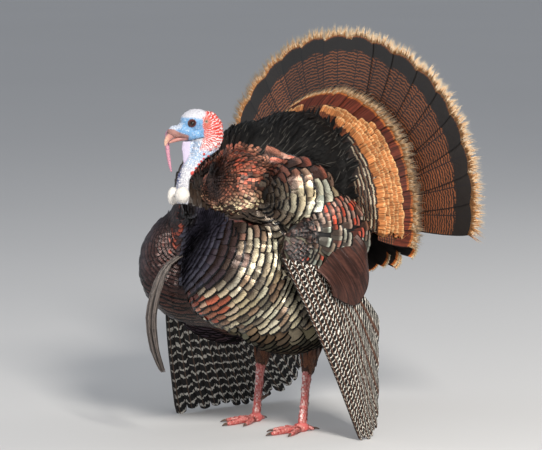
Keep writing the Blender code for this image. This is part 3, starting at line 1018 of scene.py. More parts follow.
BLACK = rgb(20, 18, 18)
NAVY = rgb(64, 61, 74)
COPPER = rgb(150, 58, 44)
EMBER = rgb(226, 74, 40)
BRONZE = rgb(132, 98, 74)
# Pale gold and cream: partly the feathers' own gold, partly painted highlight of the light on their gloss.
GOLD_AND_HIGHLIGHT = rgb(216, 196, 156)
GREEN = rgb(122, 126, 104)
CREAM_AND_HIGHLIGHT = rgb(238, 230, 204)
SILVER = rgb(190, 196, 180)
UMBER = rgb(62, 46, 40)


# ------------------------------------------------------------------ fields over the body
def breast_axes(p: Array) -> tuple[Array, Array]:
    """Distance across from the parting of the breast, and down from the neck."""
    across = 0.19 * np.arctan2(np.abs(p[:, 0]), -(p[:, 1] + 0.10))
    return across, 0.575 - p[:, 2]


def breast_flow(p: Array) -> Array:
    """Grows away from the parting: long loops near it, rounder ones further out.

    Args:
        p: (N, 3) places, measured as EYE_AT is.

    Returns:
        The field's value at each place.
    """
    across, drop = breast_axes(p)
    near = np.hypot(across, 0.55 * np.maximum(drop - 0.06, 0))
    far = np.hypot(across, 1.15 * (drop - 0.125) * np.where(drop > 0.125, 1.0, 0.6))
    return near + (far - near) * step(0.07, 0.13, near)


def inside(p: Array, centre: Place, half: Place, grow: float) -> Array:
    """Whether points are in an ellipsoid."""
    return np.sum(((p - np.array(centre)) / (np.array(half) * grow)) ** 2, -1) < 1


def tail_axes(p: Array) -> tuple[Array, Array, Array]:
    """Radius, angle and depth ahead of the fan, about the fan's axis.

    Args:
        p: (N, 3) places, measured as EYE_AT is.

    Returns:
        Radius, angle and depth at each place.
    """
    local = carried(FAN.inverted(), p + SHIFT)
    up = np.where(local[:, 2] > 0, local[:, 2] / 1.14, local[:, 2])
    return np.hypot(local[:, 0], up), np.arctan2(local[:, 0], local[:, 2]), -local[:, 1]


def far_from(point: Place) -> Field:
    """A field that is the distance from a point."""
    return lambda p: np.linalg.norm(p - np.array(point), axis=-1)


def around(point: Place, axis: Place) -> Field:
    """A field that is the angle about an axis through a point.

    Args:
        point: A point on the axis.
        axis: The axis's direction.

    Returns:
        The field.
    """
    a = unit(np.array([axis], float))[0]
    e = unit(np.cross([a], [[0.3, 0.2, 1.0]]))[0]
    f = np.cross(a, e)
    return lambda p: np.arctan2((p - np.array(point)) @ e, (p - np.array(point)) @ f)


RUFF_LEFT = ((0.066, -0.178, 0.572), (0.062, 0.072, 0.070))
RUFF_RIGHT = ((-0.048, -0.148, 0.565), (0.056, 0.062, 0.066))
NECK_LEFT = (0.0585, -0.2395, 0.5825)
NECK_RIGHT = (-0.033, -0.217, 0.562)
NECK_MIDDLE = 0.004  # where the two ruffs meet
SHOULDER_ROOT = (0.133, -0.167, 0.544)
WRIST = (0.200, -0.175, 0.475)


class Owner(Enum):
    """Which solids a part of the skin comes from."""

    TRUNK = 0
    COVERTS = 1
    VENT = 2
    ARM = 3
    THIGH = 4
    NECK = 5


def in_ruff(p: Array) -> Array:
    """The collar of narrow feathers on either side of the neck."""
    return inside(p, *RUFF_LEFT, 1.12) | inside(p, *RUFF_RIGHT, 1.15)


def in_breast(p: Array) -> Array:
    """Below the ruff and the shoulders."""
    edge = 0.466 + 0.43 * np.clip(-p[:, 1] - 0.144, -0.10, 0.20)
    return (p[:, 2] < edge) & ~in_ruff(p)


def in_shoulder(p: Array) -> Array:
    """The scapulars: a patch high on either side, behind the ruff."""
    patch = ((p[:, 1] + 0.105) / 0.092) ** 2 + ((p[:, 2] - 0.530) / 0.088) ** 2 < 1
    return patch & ~in_ruff(p) & ~in_breast(p) & (np.abs(p[:, 0]) > 0.085)


def cloud(p: Array, scale: float, rng: np.random.Generator, spread: float = 0.16) -> Array:
    """Shares from 0 to 1 that drift over the body, a little different from vane to vane."""
    return np.clip(0.5 + 0.9 * grain(p, scale) + rng.normal(0, spread, len(p)), 0, 1)


def breast_tone(p: Array, rng: np.random.Generator) -> Array:
    """Navy by the parting, then bronze and cream scales with ember low in front; the cream is partly
    painted highlight.

    Args:
        p: (N, 3) places, measured as EYE_AT is.
        rng: The source of chance.

    Returns:
        (N, 3) colours.
    """
    across, drop = breast_axes(p)
    flow = breast_flow(p)
    n = len(p)
    # Gold to cream scales: partly their own gold, partly painted highlight.
    tone = blend(cloud(p, 22, rng), filled(GOLD_AND_HIGHLIGHT, n), CREAM_AND_HIGHLIGHT)
    tone = blend(cloud(p + 1, 26, rng) * step(0.14, 0.21, flow) * 0.75, tone, GREEN)
    # Bronze patches and a random fifth of vanes darkened towards umber: partly their own tone, partly
    # painted shade of vanes turned from the light.
    tone = blend(step(0.45, 0.75, cloud(p + 2, 30, rng)) * 0.8, tone, BRONZE)
    tone = blend((rng.random(n) > 0.8) * rng.uniform(0.3, 0.8, n), tone, UMBER)
    low = flow + rng.normal(0, 0.008, n)
    tone = blend(step(0.165, 0.135, low) * step(0.22, 0.12, drop) * 0.9, tone, UMBER)
    top = step(0.115, 0.085, drop + rng.normal(0, 0.008, n)) * step(0.10, 0.13, across)
    tone = blend(top, tone, COPPER)
    tone = blend(step(0.300, 0.345, drop) * 0.9, tone, rgb(20, 15, 12))
    tone = blend(step(0.156, 0.132, low), tone, rgb(70, 50, 46))
    tone = blend(step(0.130, 0.098, low), tone, NAVY)
    front = step(0.232, 0.250, drop + 0.20 * across) * step(0.292, 0.278, drop) * step(0.15, 0.10, across)
    tone = blend(front * rng.uniform(0.3, 1, n) * step(0.008, 0.02, across), tone, rgb(206, 84, 52))
    # Painted shade: the far (right) side, turned from the light, is painted dark maroon, with navy further
    # out.
    far = (p[:, 0] < 0).astype(float)
    tone = blend(far * 0.96, tone, rgb(66, 44, 40))
    tone = blend(far * step(0.05, 0.11, across) * rng.uniform(0.4, 0.9, n), tone, rgb(48, 42, 52))
    tone = blend(step(0.110, 0.090, drop) * step(0.040, 0.025, across), tone, rgb(34, 27, 27))
    tone = blend(step(0.0, 0.06, p[:, 1]) * 0.9, tone, rgb(50, 40, 35))
    speck = far * step(0.05, 0.02, across) * step(0.19, 0.15, drop) * (rng.random(n) > 0.6)
    return blend(speck, tone, rgb(140, 68, 52))


def breast_spacing(p: Array) -> tuple[Array, Array]:
    """Fine by the parting, broad scales further out."""
    grown = step(0.070, 0.145, breast_flow(p))
    return 0.0052 + 0.0098 * grown, 0.0085 + 0.0185 * grown


def shoulder_spacing(p: Array) -> tuple[Array, Array]:
    """Small scales by the ruff, broad ones over the wing."""
    grown = step(0.025, 0.100, far_from(SHOULDER_ROOT)(mirror(p)))
    return 0.0085 + 0.0095 * grown, 0.0135 + 0.0175 * grown


def ruff_root(p: Array) -> Array:
    """Where the ruff that each place belongs to starts from."""
    return np.where(p[:, :1] > NECK_MIDDLE, np.array([NECK_LEFT]), np.array([NECK_RIGHT]))


def ruff_spacing(p: Array) -> tuple[Array, Array]:
    """Hair-fine at the neck, small scales at the rim."""
    grown = step(0.015, 0.090, np.linalg.norm(p - ruff_root(p), axis=1))
    return 0.0040 + 0.0040 * grown, 0.0030 + 0.0024 * grown


def arm_spacing(p: Array) -> tuple[Array, Array]:
    """Small lesser coverts, broad greater ones."""
    grown = step(0.07, 0.12, far_from(WRIST)(mirror(p)))
    return 0.0066 + 0.0064 * grown, 0.0070 + 0.0110 * grown


def ruff_tone(p: Array, rng: np.random.Generator) -> Array:
    """Copper above, streaks of green gold and cream below that are partly painted highlight, dark by the
    throat.

    Args:
        p: (N, 3) places, measured as EYE_AT is.
        rng: The source of chance.

    Returns:
        (N, 3) colours.
    """
    n = len(p)
    height = p[:, 2] + rng.normal(0, 0.004, n)
    root = ruff_root(p)
    angle = np.arctan2(p[:, 2] - root[:, 2], p[:, 1] - root[:, 1])
    rays = 0.5 + 0.5 * np.sin(angle * 75 + 2.0 * grain(p, 30))
    tone = blend(rays, filled(rgb(74, 50, 42), n), rgb(196, 132, 104))
    warm = step(0.545, 0.575, height) * step(-0.145, -0.175, p[:, 1])
    tone = blend(warm * step(0.4, 0.8, rays) * rng.uniform(0.2, 1, n), tone, rgb(184, 84, 62))
    far = np.linalg.norm(p - root, axis=1)
    # Pale green gold streaks low on the ruff: partly their own colour, partly painted highlight.
    pale = step(0.560, 0.530, height) * step(0.040, 0.070, far) * step(0.25, 0.65, rays)
    tone = blend(pale * 0.75, tone, GREEN)
    tone = blend(pale * rng.uniform(0.2, 1, n), tone, GOLD_AND_HIGHLIGHT)
    tone = blend(step(0.034, 0.014, far) * 0.8, tone, rgb(44, 34, 32))
    return blend(step(-0.225, -0.250, p[:, 1] - 0.25 * (p[:, 2] - 0.55)), tone, rgb(62, 47, 42))


def shoulder_tone(p: Array, rng: np.random.Generator) -> Array:
    """Copper at the top, green gold and cream below, the gold and cream partly painted highlight.

    Args:
        p: (N, 3) places, measured as EYE_AT is.
        rng: The source of chance.

    Returns:
        (N, 3) colours.
    """
    n = len(p)
    height = p[:, 2] + rng.normal(0, 0.004, n)
    # Gold and cream here: partly their own colour, partly painted highlight.
    tone = blend(cloud(p, 30, rng), filled(GOLD_AND_HIGHLIGHT, n), SILVER)
    tone = blend(step(0.540, 0.49, height) * 0.8, tone, CREAM_AND_HIGHLIGHT)
    tone = blend(step(0.5, 0.8, cloud(p + 3, 34, rng)) * 0.7, tone, BRONZE)
    tone = blend(step(0.560, 0.590, height) * rng.uniform(0.7, 1, n), tone, rgb(150, 72, 54))
    tone = blend(step(-0.120, -0.158, p[:, 1]) * 0.9, tone, rgb(62, 43, 36))
    return blend(step(-0.060, -0.030, p[:, 1]) * rng.uniform(0.3, 0.9, n), tone, UMBER)


def back_tone(p: Array, rng: np.random.Generator) -> Array:
    """Sooty black, browner on the hind neck.

    Args:
        p: (N, 3) places, measured as EYE_AT is.
        rng: The source of chance.

    Returns:
        (N, 3) colours.
    """
    n = len(p)
    tone = blend(rng.uniform(0, 0.5, n), filled(rgb(8, 8, 8), n), rgb(30, 28, 27))
    return blend(step(-0.15, -0.19, p[:, 1]) * 0.8, tone, rgb(58, 46, 38))


def arm_tone(p: Array, rng: np.random.Generator) -> Array:
    """Dark lesser coverts; ember, silver and green on the greater ones.

    Args:
        p: (N, 3) places, measured as EYE_AT is.
        rng: The source of chance.

    Returns:
        (N, 3) colours.
    """
    n = len(p)
    far = far_from(WRIST)(mirror(p)) + rng.normal(0, 0.005, n)
    dark = blend(rng.uniform(0, 1, n), filled(rgb(46, 34, 34), n), rgb(92, 64, 56))
    rich = blend(cloud(p, 34, rng) * 0.55, filled(SILVER, n), GREEN)
    rich = blend(step(0.5, 0.8, cloud(p + 4, 40, rng)) * 0.8, rich, BRONZE)
    warm = step(0.440, 0.505, p[:, 2] + rng.normal(0, 0.012, n))
    rich = blend(warm * rng.uniform(0.3, 1, n), rich, rgb(190, 74, 48))
    rich = blend(step(0.035, 0.075, p[:, 1]) * 0.85, rich, rgb(52, 38, 34))
    rich = blend((rng.random(n) > 0.86) * (p[:, 1] < 0.03) * 0.8, rich, EMBER)
    share = step(0.070, 0.105, far)[:, None]
    return dark * (1 - share) + rich * share


def plain(*colours: Colour) -> Toner:
    """A tone that varies between the first and last of some colours.

    Args:
        colours: The colours, of which the first and last are the limits.

    Returns:
        The tone.
    """
    def tone(p: Array, rng: np.random.Generator) -> Array:
        """Mixes at random."""
        return blend(rng.random(len(p)), filled(colours[0], len(p)), colours[-1])
    return tone


def even(rise: float, pitch: float) -> Spacing:
    """The same spacing everywhere."""
    return lambda p: (np.full(len(p), rise), np.full(len(p), pitch))


# ------------------------------------------------------------------ skin
WHITE_SKIN = rgb(206, 206, 214)
RED_SKIN = rgb(206, 62, 52)
LEG_PINK = rgb(212, 102, 98)
SKIN_COLOURS = {  # by region of head_masks, each laid over those before it
    "under": rgb(178, 200, 226), "face": rgb(116, 166, 212), "brow": rgb(206, 214, 228),
    "crown": WHITE_SKIN, "nape": RED_SKIN, "throat": rgb(66, 80, 132), "gape": rgb(170, 124, 116),
    "wattle": rgb(206, 196, 220), "snood": rgb(214, 150, 168), "lid": rgb(92, 40, 34),
    # Painted shade: the crease along the jaw is painted near black.
    "jaw": rgb(22, 26, 48), "cheek": rgb(196, 92, 76), "ear": rgb(158, 134, 116),
    # Painted shade: the ear's opening is painted dark brown.
    "ear_hole_shade": rgb(58, 40, 36), "spots": RED_SKIN, "caruncle": rgb(236, 230, 222),
}
SPOTS = (
    # forward, up, radius of the round red caruncles down the hind neck
    (-0.0017, -0.1092, 0.0046), (-0.0091, -0.0979, 0.0026), (-0.0152, -0.0901, 0.0026),
    (-0.0206, -0.0832, 0.0026), (-0.0253, -0.0775, 0.0024), (-0.0262, -0.0676, 0.0028),
    (-0.0401, -0.0589, 0.0028), (-0.0520, -0.0529, 0.0030), (-0.0360, -0.0720, 0.0024),
)
EAR = (-0.0314, 0.0030)
JAW_HINGE = (-0.010, -0.022)  # forward and up from the eyes' middle, like EAR
NAPE_FOLDS = 46  # waves of the nape's folds in a radian about the hinge
EYE_SPREAD = 0.0175
EYE_RADIUS = 0.0083725
FLESH_BODY = ("trunk", "neck", "tail_coverts", "vent_feathers", "wing_left_arm", "wing_right_arm",
              "thigh_left", "thigh_right")
FLESH_HEAD = ("head", "neck", "throat", "snood", "caruncle_left", "caruncle_right")
FLESH_LEGS = ("shank_left", "shank_right", "foot_left", "foot_right")
OWNERS = {
    "trunk": Owner.TRUNK, "neck": Owner.NECK, "tail_coverts": Owner.COVERTS, "vent_feathers": Owner.VENT,
    "wing_left_arm": Owner.ARM, "wing_right_arm": Owner.ARM,
    "thigh_left": Owner.THIGH, "thigh_right": Owner.THIGH,
}


def owners_of(points: Array) -> Array:
    """Which kind of solid each place is nearest to, as Owner values.

    Args:
        points: (N, 3) places.

    Returns:
        (N,) Owner values.
    """
    corners, triangles, kinds = [], [], []
    for node, kind in OWNERS.items():
        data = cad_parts[node].data
        base = len(corners)
        corners += [tuple(v.co) for v in data.vertices]
        for polygon in data.polygons:
            triangles.append(tuple(base + i for i in polygon.vertices))
            kinds.append(kind.value)
    tree = BVHTree.FromPolygons(corners, triangles)
    return np.array([kinds[tree.find_nearest(p)[2]] for p in points])


def unowned(points: Array) -> Array:
    """No kind of solid in particular."""
    return np.zeros(len(points))


@dataclass
class Skin:
    """One closed skin under the plumage and over the bare head, neck and legs."""

    body_voxel: float = 0.0055
    head_voxel: float = 0.0017
    leg_voxel: float = 0.0022
    coat_depth: float = 0.0065
    bare_depth: float = 0.0004
    lid_ring: float = 0.0076
    lid_thick: float = 0.0016
    lid_out: float = 0.0036  # how far the lids stand outside the eyes' middles
    leg_rise: float = 0.014  # how much further the legs' skin goes up, inside the thighs' plumage
    web_place: Place = (0.0015, 0.0, -0.047)  # the web of skin behind the throat's flap
    web_size: Place = (0.0110, 0.0034, 0.0150)

    def build(self) -> dict[str, Ground]:
        """Makes the skin and gives the grounds that plumage, bristles and scales stand on.

        Returns:
            The grounds of the body, the head and the legs.
        """
        body = self.sunk(remeshed(copy_of(FLESH_BODY, "skin_body"), self.body_voxel, 4), self.coat_depth)
        head = self.head()
        legs = self.sunk(remeshed(copy_of(FLESH_LEGS, "skin_legs"), self.leg_voxel, 2), self.bare_depth)
        points = points_of(legs)
        points[:, 2] += self.leg_rise * step(0.112, 0.122, points[:, 2])
        set_points(legs, points)
        grounds = {"body": self.unwrapped(body, owners_of), "head": self.unwrapped(head, unowned),
                   "legs": self.unwrapped(legs, unowned)}
        skin = self.united(body, head, legs)
        self.mark(skin)
        self.dress(skin)
        return grounds

    def unwrapped(self, obj: bpy.types.Object, owner: Callable[[Array], Array]) -> Ground:
        """A ground with its bake map, made from a part of the skin.

        Args:
            obj: The part of the skin.
            owner: What gives the kind of solid at each place.

        Returns:
            The ground.
        """
        with editing(obj):
            bpy.ops.uv.smart_project(angle_limit=math.radians(66), island_margin=0.002)
        ground = Ground(obj, owner)
        uv = np.empty(len(obj.data.loops) * 2, np.float32)
        obj.data.uv_layers.active.data.foreach_get("uv", uv)
        corner = np.empty(len(obj.data.loops), np.int32)
        obj.data.loops.foreach_get("vertex_index", corner)
        ground.spot[corner] = uv.reshape(-1, 2)
        obj.data.uv_layers.remove(obj.data.uv_layers[0])
        return ground

    def sunk(self, obj: bpy.types.Object, depth: float) -> bpy.types.Object:
        """Moves a skin inwards by the coat's depth."""
        set_points(obj, points_of(obj) - normals_of(obj) * depth)
        return obj

    def head(self) -> bpy.types.Object:
        """The bare head and neck with lids, folds, wrinkles and caruncles.

        Returns:
            The object.
        """
        parts = [copy_of(FLESH_HEAD, "skin_head")]
        for side in SIDES.values():
            deselect()
            centre = HEAD @ Vector((0, side * (EYE_SPREAD + self.lid_out), 0))
            turned = HEAD.to_3x3() @ Matrix.Rotation(math.pi / 2, 3, "X")
            bpy.ops.mesh.primitive_torus_add(
                location=centre, rotation=turned.to_euler(), major_radius=self.lid_ring,
                minor_radius=self.lid_thick, major_segments=40, minor_segments=12)
            parts.append(bpy.context.object)
        deselect()
        bpy.ops.mesh.primitive_uv_sphere_add(
            segments=24, ring_count=16, radius=1.0, location=HEAD @ Vector(self.web_place),
            rotation=HEAD.to_3x3().to_euler(), scale=self.web_size)
        parts.append(bpy.context.object)
        obj = remeshed(joined(parts), self.head_voxel, 3)
        points, normals = points_of(obj), normals_of(obj)
        local = carried(HEAD.inverted(), points)
        u, w = local[:, 0], local[:, 2]
        masks = head_masks(local)
        bare = bare_share(local)
        rise = -self.bare_depth - (self.coat_depth - self.bare_depth) * (1 - bare)
        rise += bare * (0.0022 * masks["crown"] * (pebbles(local, 260) - 0.4) + 0.0005 * grain(local, 420))
        folds = np.sin(nape_angle(local) * NAPE_FOLDS + 4.0 * grain(local, 150))
        rise += 0.0011 * masks["nape"] * (1 - masks["cheek"]) * folds
        rise += 0.0018 * masks["beads"] * (pebbles(local, 210) - 0.4)
        rise += 0.0009 * masks["face"] * (1 - masks["lid"]) * grain(local * np.array([1, 1, 2.0]), 300)
        rise += 0.0003 * masks["wattle"] * np.sin(u * 1900 + 4 * grain(local, 90))
        rise += 0.0005 * masks["snood"] * np.sin(w * 2400 + 1.5 * grain(local, 150))
        rise += 0.0012 * masks["brow"] * (pebbles(local * np.array([0.6, 1, 1.5]), 330) - 0.4)
        rise += 0.0010 * masks["caruncle"] * grain(local, 110)
        rise -= 0.0018 * np.exp(-((u - EAR[0]) ** 2 + (w - EAR[1]) ** 2) / 0.0022**2)
        rise -= 0.0008 * masks["jaw"]
        for spot_u, spot_w, radius in SPOTS:
            swell = np.exp(-((u - spot_u) ** 2 + (w - spot_w) ** 2) / radius**2)
            rise += 0.9 * radius * swell * (1 - masks["snood"])
        set_points(obj, points + normals * rise[:, None])
        return obj

    def united(self, body: bpy.types.Object, *others: bpy.types.Object) -> bpy.types.Object:
        """Fuses the three parts into one closed skin.

        Args:
            body: The part that the others are fused to.
            others: The other parts, which are removed.

        Returns:
            The one object left.
        """
        for other in others:
            join = body.modifiers.new("Join", "BOOLEAN")
            join.operation = "UNION"
            join.solver = "MANIFOLD"
            join.object = other
        apply_all(body)
        for other in others:
            bpy.data.objects.remove(other)
        body.name = "skin"
        return body

    def mark(self, skin: bpy.types.Object) -> None:
        """Colours the skin by region and stores its place in the head's axes.

        Args:
            skin: The united skin.
        """
        points = points_of(skin)
        local = carried(HEAD.inverted(), points)
        bird = points - SHIFT
        masks = head_masks(local)
        rng = np.random.default_rng(SEED)
        tone = breast_tone(bird, rng) * 0.35
        upper = ~in_breast(bird)
        tone[upper] = back_tone(bird[upper], rng)
        tone[in_ruff(bird)] = np.array(rgb(44, 30, 26))
        bare = bare_share(local) * (np.linalg.norm(local - np.array([0, 0, -0.08]), axis=1) < 0.15)
        tone = blend(bare, tone, WHITE_SKIN)
        for name, colour in SKIN_COLOURS.items():
            tone = blend(masks[name] * bare, tone, colour)
        leg = (bird[:, 2] < 0.150) & (np.abs(np.abs(bird[:, 0]) - 0.08) < 0.07) & (bird[:, 1] < 0.08)
        tone[leg] = np.array(LEG_PINK)
        set_attribute(skin.data, "tone", Kind.COLOUR, tone)
        set_attribute(skin.data, "plan", Kind.VECTOR, local)
        bristle = np.clip(masks["brow"] + masks["under"] + masks["neck"] + 0.6 * masks["face"], 0, 1)
        bristle = bristle * (1 - masks["caruncle"]) * (1 - masks["gape"])
        folded = masks["nape"] * (1 - 0.85 * masks["cheek"])
        zone = np.stack([folded * bare, masks["beads"] * bare, bristle * bare], 1)
        set_attribute(skin.data, "zone", Kind.VECTOR, zone)
        blue = masks["face"] * bare * (1 - masks["lid"]) * (1 - masks["gape"])
        set_attribute(skin.data, "tints", Kind.VECTOR, np.stack([blue, blue * 0, blue * 0], 1))
        smooth(skin)

    def dress(self, skin: bpy.types.Object) -> None:
        """Finishes the skin.

        Args:
            skin: The united skin.
        """
        paint = Paint("bare_skin")
        plan, zone, own = paint.read("plan"), paint.read("zone"), paint.tint("tone")
        nape, beads, dots = [paint.part(zone, i) for i in range(3)]
        blue = paint.part(paint.read("tints"), 0)
        u, w = paint.part(plan, 0), paint.part(plan, 2)
        patch = paint.noise(plan, 160.0, 3.0)
        angle = w.maths("ARCTAN2", w - JAW_HINGE[1], (u - JAW_HINGE[0]) * -1.0)
        swirl = angle * NAPE_FOLDS + (paint.noise(plan, 150.0, 1.0) - 0.5) * 9.0 + patch * 2.0
        wave = swirl.sine()
        spread = paint.rise(w * -1.0, 0.020, 0.060) * 0.9
        ridges = paint.rise(wave + (paint.noise(plan, 420.0) - 0.5) * 3.2 + spread, 0.2, 0.9) * nape
        colour = paint.mix(ridges, own, rgb(236, 216, 216))
        fleck = paint.cells(plan, 290.0)
        colour = paint.mix((1 - paint.rise(fleck, 0.16, 0.34)) * dots * 0.85, colour, rgb(48, 64, 112))
        cell = paint.cells(plan, 250.0)
        colour = paint.mix((1 - paint.rise(cell, 0.30, 0.42)) * beads, colour, rgb(244, 240, 242))
        pale = paint.rise(paint.noise(plan, 240.0, 4.0, 0.65), 0.50, 0.68) * blue
        colour = paint.mix(pale * 0.7, colour, rgb(206, 216, 230))
        deep = paint.rise(paint.noise(plan, 330.0, 3.0, 0.6) * -1.0, -0.44, -0.34) * blue
        colour = paint.mix(deep * 0.6, colour, rgb(62, 100, 158))
        colour = paint.dim(colour, 0.70 + paint.noise(plan, 420.0, 4.0, 0.6) * 0.5)
        normal = paint.bump(paint.noise(plan, 900.0, 3.0), 0.0005, 0.5)
        material = paint.done(colour, 0.45 + patch * 0.15, normal)
        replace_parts(skin, *sorted({*FLESH_BODY, *FLESH_HEAD, *FLESH_LEGS}))
        dressed(skin, material)


def nape_angle(local: Array) -> Array:
    """The angle about the jaw's hinge, in the head's side plane."""
    return np.arctan2(local[:, 2] - JAW_HINGE[1], JAW_HINGE[0] - local[:, 0])


BARE_EDGE = (
    # down from the eyes, forward: where the plumage of the hind neck starts
    (0.050, -0.080), (0.066, -0.052), (0.077, -0.034), (0.094, -0.0165), (0.109, -0.005),
    (0.126, 0.003), (0.143, 0.006), (0.158, 0.005), (0.178, 0.010),
)
LOBES = (
    # centre and half sizes of the two big caruncles, in the bird's axes
    ((0.026, -0.2985, 0.546), (0.0180, 0.017, 0.0185)),
    ((-0.013, -0.294, 0.540), (0.0125, 0.0125, 0.0205)),
)


def lobe_share(local: Array) -> Array:
    """1 on the two big caruncles, 0 off them.

    Args:
        local: (N, 3) places in the head's axes.

    Returns:
        (N,) shares.
    """
    bird = carried(HEAD, local) - SHIFT
    share = np.zeros(len(local))
    for centre, half in LOBES:
        far = np.sqrt(np.sum(((bird - np.array(centre)) / np.array(half)) ** 2, axis=1))
        share = np.maximum(share, step(1.22, 1.10, far))
    return share


def bare_share(local: Array) -> Array:
    """1 on the bare head and fore neck, 0 where plumage grows.

    Args:
        local: (N, 3) places in the head's axes.

    Returns:
        (N,) shares.
    """
    u, v, w = local.T
    down, forward = np.array(BARE_EDGE).T
    edge = np.interp(-w, down, forward)
    share = np.where(w > -0.052, step(-0.086, -0.080, u), step(-0.002, 0.003, u - edge))
    share = share * step(0.036, 0.031, np.abs(v)) * step(-0.180, -0.174, w)
    return np.maximum(share, lobe_share(local))


def head_masks(local: Array) -> dict[str, Array]:
    """Shares from 0 to 1 of each region of the bare head, in its own axes.

    Args:
        local: (N, 3) places in the head's axes.

    Returns:
        (N,) shares by the region's name.
    """
    u, v, w = local.T
    rough = grain(local, 260)
    up_line = 0.0125 - 0.0035 * np.clip((-u - 0.005) / 0.02, 0, 1) + 0.0016 * rough
    crown = step(-0.0030, 0.0022, w - up_line - 0.0016 * grain(local, 420))
    nape_edge = -0.0255 + 0.42 * np.clip(-w - 0.035, 0, 0.07) + 0.0040 * grain(local, 150)
    nape = step(0.0016, -0.0016, u - nape_edge) * step(-0.066, -0.046, w + 0.006 * rough)
    nape *= 1 - step(0.010, 0.016, w) * step(-0.036, -0.028, u)
    jaw_line = -0.0405 + 0.28 * np.clip(-u + 0.008, 0, 0.035)
    face = step(-0.0008, 0.0008, w - jaw_line) * (1 - nape) * (1 - crown)
    brow = step(0.016, 0.026, u + 0.25 * rough * 0.01) * (w > -0.03)
    brow = brow * step(-0.014, -0.006, w - 0.35 * (0.02 - u))
    snood = np.zeros(len(u))
    for point in ((0.049, -0.012, -0.026), (0.0495, -0.013, -0.045), (0.048, -0.012, -0.068),
                  (0.0445, -0.011, -0.092), (0.0405, -0.010, -0.109)):
        snood = np.maximum(snood, step(0.0165, 0.0135, np.linalg.norm(local - np.array(point), axis=1)))
    snood *= step(-0.040, -0.044, w) + step(-0.004, -0.008, v)
    snood = np.clip(snood, 0, 1) * step(0.028, 0.034, u)
    wattle = step(0.0075, 0.0050, np.abs(v)) * step(-0.0375, -0.0420, w) * step(-0.094, -0.088, w)
    wattle *= step(0.0005, 0.004, u - (-0.002 - 0.10 * (w + 0.04)))
    ring = np.minimum(*[np.linalg.norm(local[:, (0, 2)], axis=1) + 9 * (side * v < 0) for side in (1, -1)])
    lid = step(0.0098, 0.0088, ring) * step(0.012, 0.014, np.abs(v))
    # The jaw's crease: dented into the skin and painted near black as painted shade.
    jaw = np.exp(-((w - jaw_line) / 0.0013) ** 2) * step(0.016, 0.010, u) * step(-0.031, -0.026, u)
    ear_far = np.hypot(u - EAR[0], w - EAR[1])
    ear, ear_hole_shade = step(0.0042, 0.0034, ear_far), step(0.0021, 0.0012, ear_far)
    cheek = np.hypot((u + 0.0335) / 0.0080, (w - 0.0005) / 0.0140) + 0.25 * grain(local, 300)
    cheek = step(1.20, 0.80, cheek)
    spots = np.zeros(len(u))
    for spot_u, spot_w, radius in SPOTS:
        spots = np.maximum(spots, step(1.25 * radius, 0.95 * radius, np.hypot(u - spot_u, w - spot_w)))
    low = step(-0.030, -0.045, w)
    beads = low * (1 - wattle) * (1 - face) * (1 - lobe_share(local)) * (1 - spots) * (1 - snood)
    lip = np.interp(u, (0.005, 0.015, 0.029, 0.038), (-0.0275, -0.0245, -0.0185, -0.0135))
    gape = step(0.0012, -0.0012, w - lip + 0.001 * rough) * step(0.004, 0.008, u) * step(-0.040, -0.038, w)
    gape = gape * (1 - snood)
    throat = step(-0.070, -0.085, w) * step(0.012, 0.018, u - (0.004 - 0.30 * (w + 0.10)) + 0.005 * rough)
    under = step(-0.036, -0.044, w) * step(-0.105, -0.075, w) * (1 - nape) * (1 - wattle)
    neck = step(-0.085, -0.105, w) * step(-0.010, 0.010, u - (0.0 - 0.35 * (w + 0.10)))
    return {"crown": crown, "nape": nape, "face": face, "brow": brow, "snood": snood, "wattle": wattle,
            "caruncle": lobe_share(local), "lid": lid, "jaw": jaw, "ear": ear, "ear_hole_shade": ear_hole_shade,
            "cheek": cheek, "spots": spots, "beads": beads, "under": under, "neck": neck, "gape": gape,
            "throat": throat}


# ------------------------------------------------------------------ the contour plumage
def feathered(p: Array) -> Array:
    """Whether places are off the bare skin."""
    return bare_share(carried(HEAD.inverted(), p + SHIFT)) < 0.25


def tail_flow(p: Array) -> Array:
    """Grows from the saddle to the rim of the tail coverts."""
    radius, _, depth = tail_axes(p)
    return radius - 0.6 * depth


def on_hump(n: Array) -> Array:
    """Off the back face of the coverts, which lies against the fan."""
    return n @ np.array(FAN.to_3x3())[:, 1] < 0.5


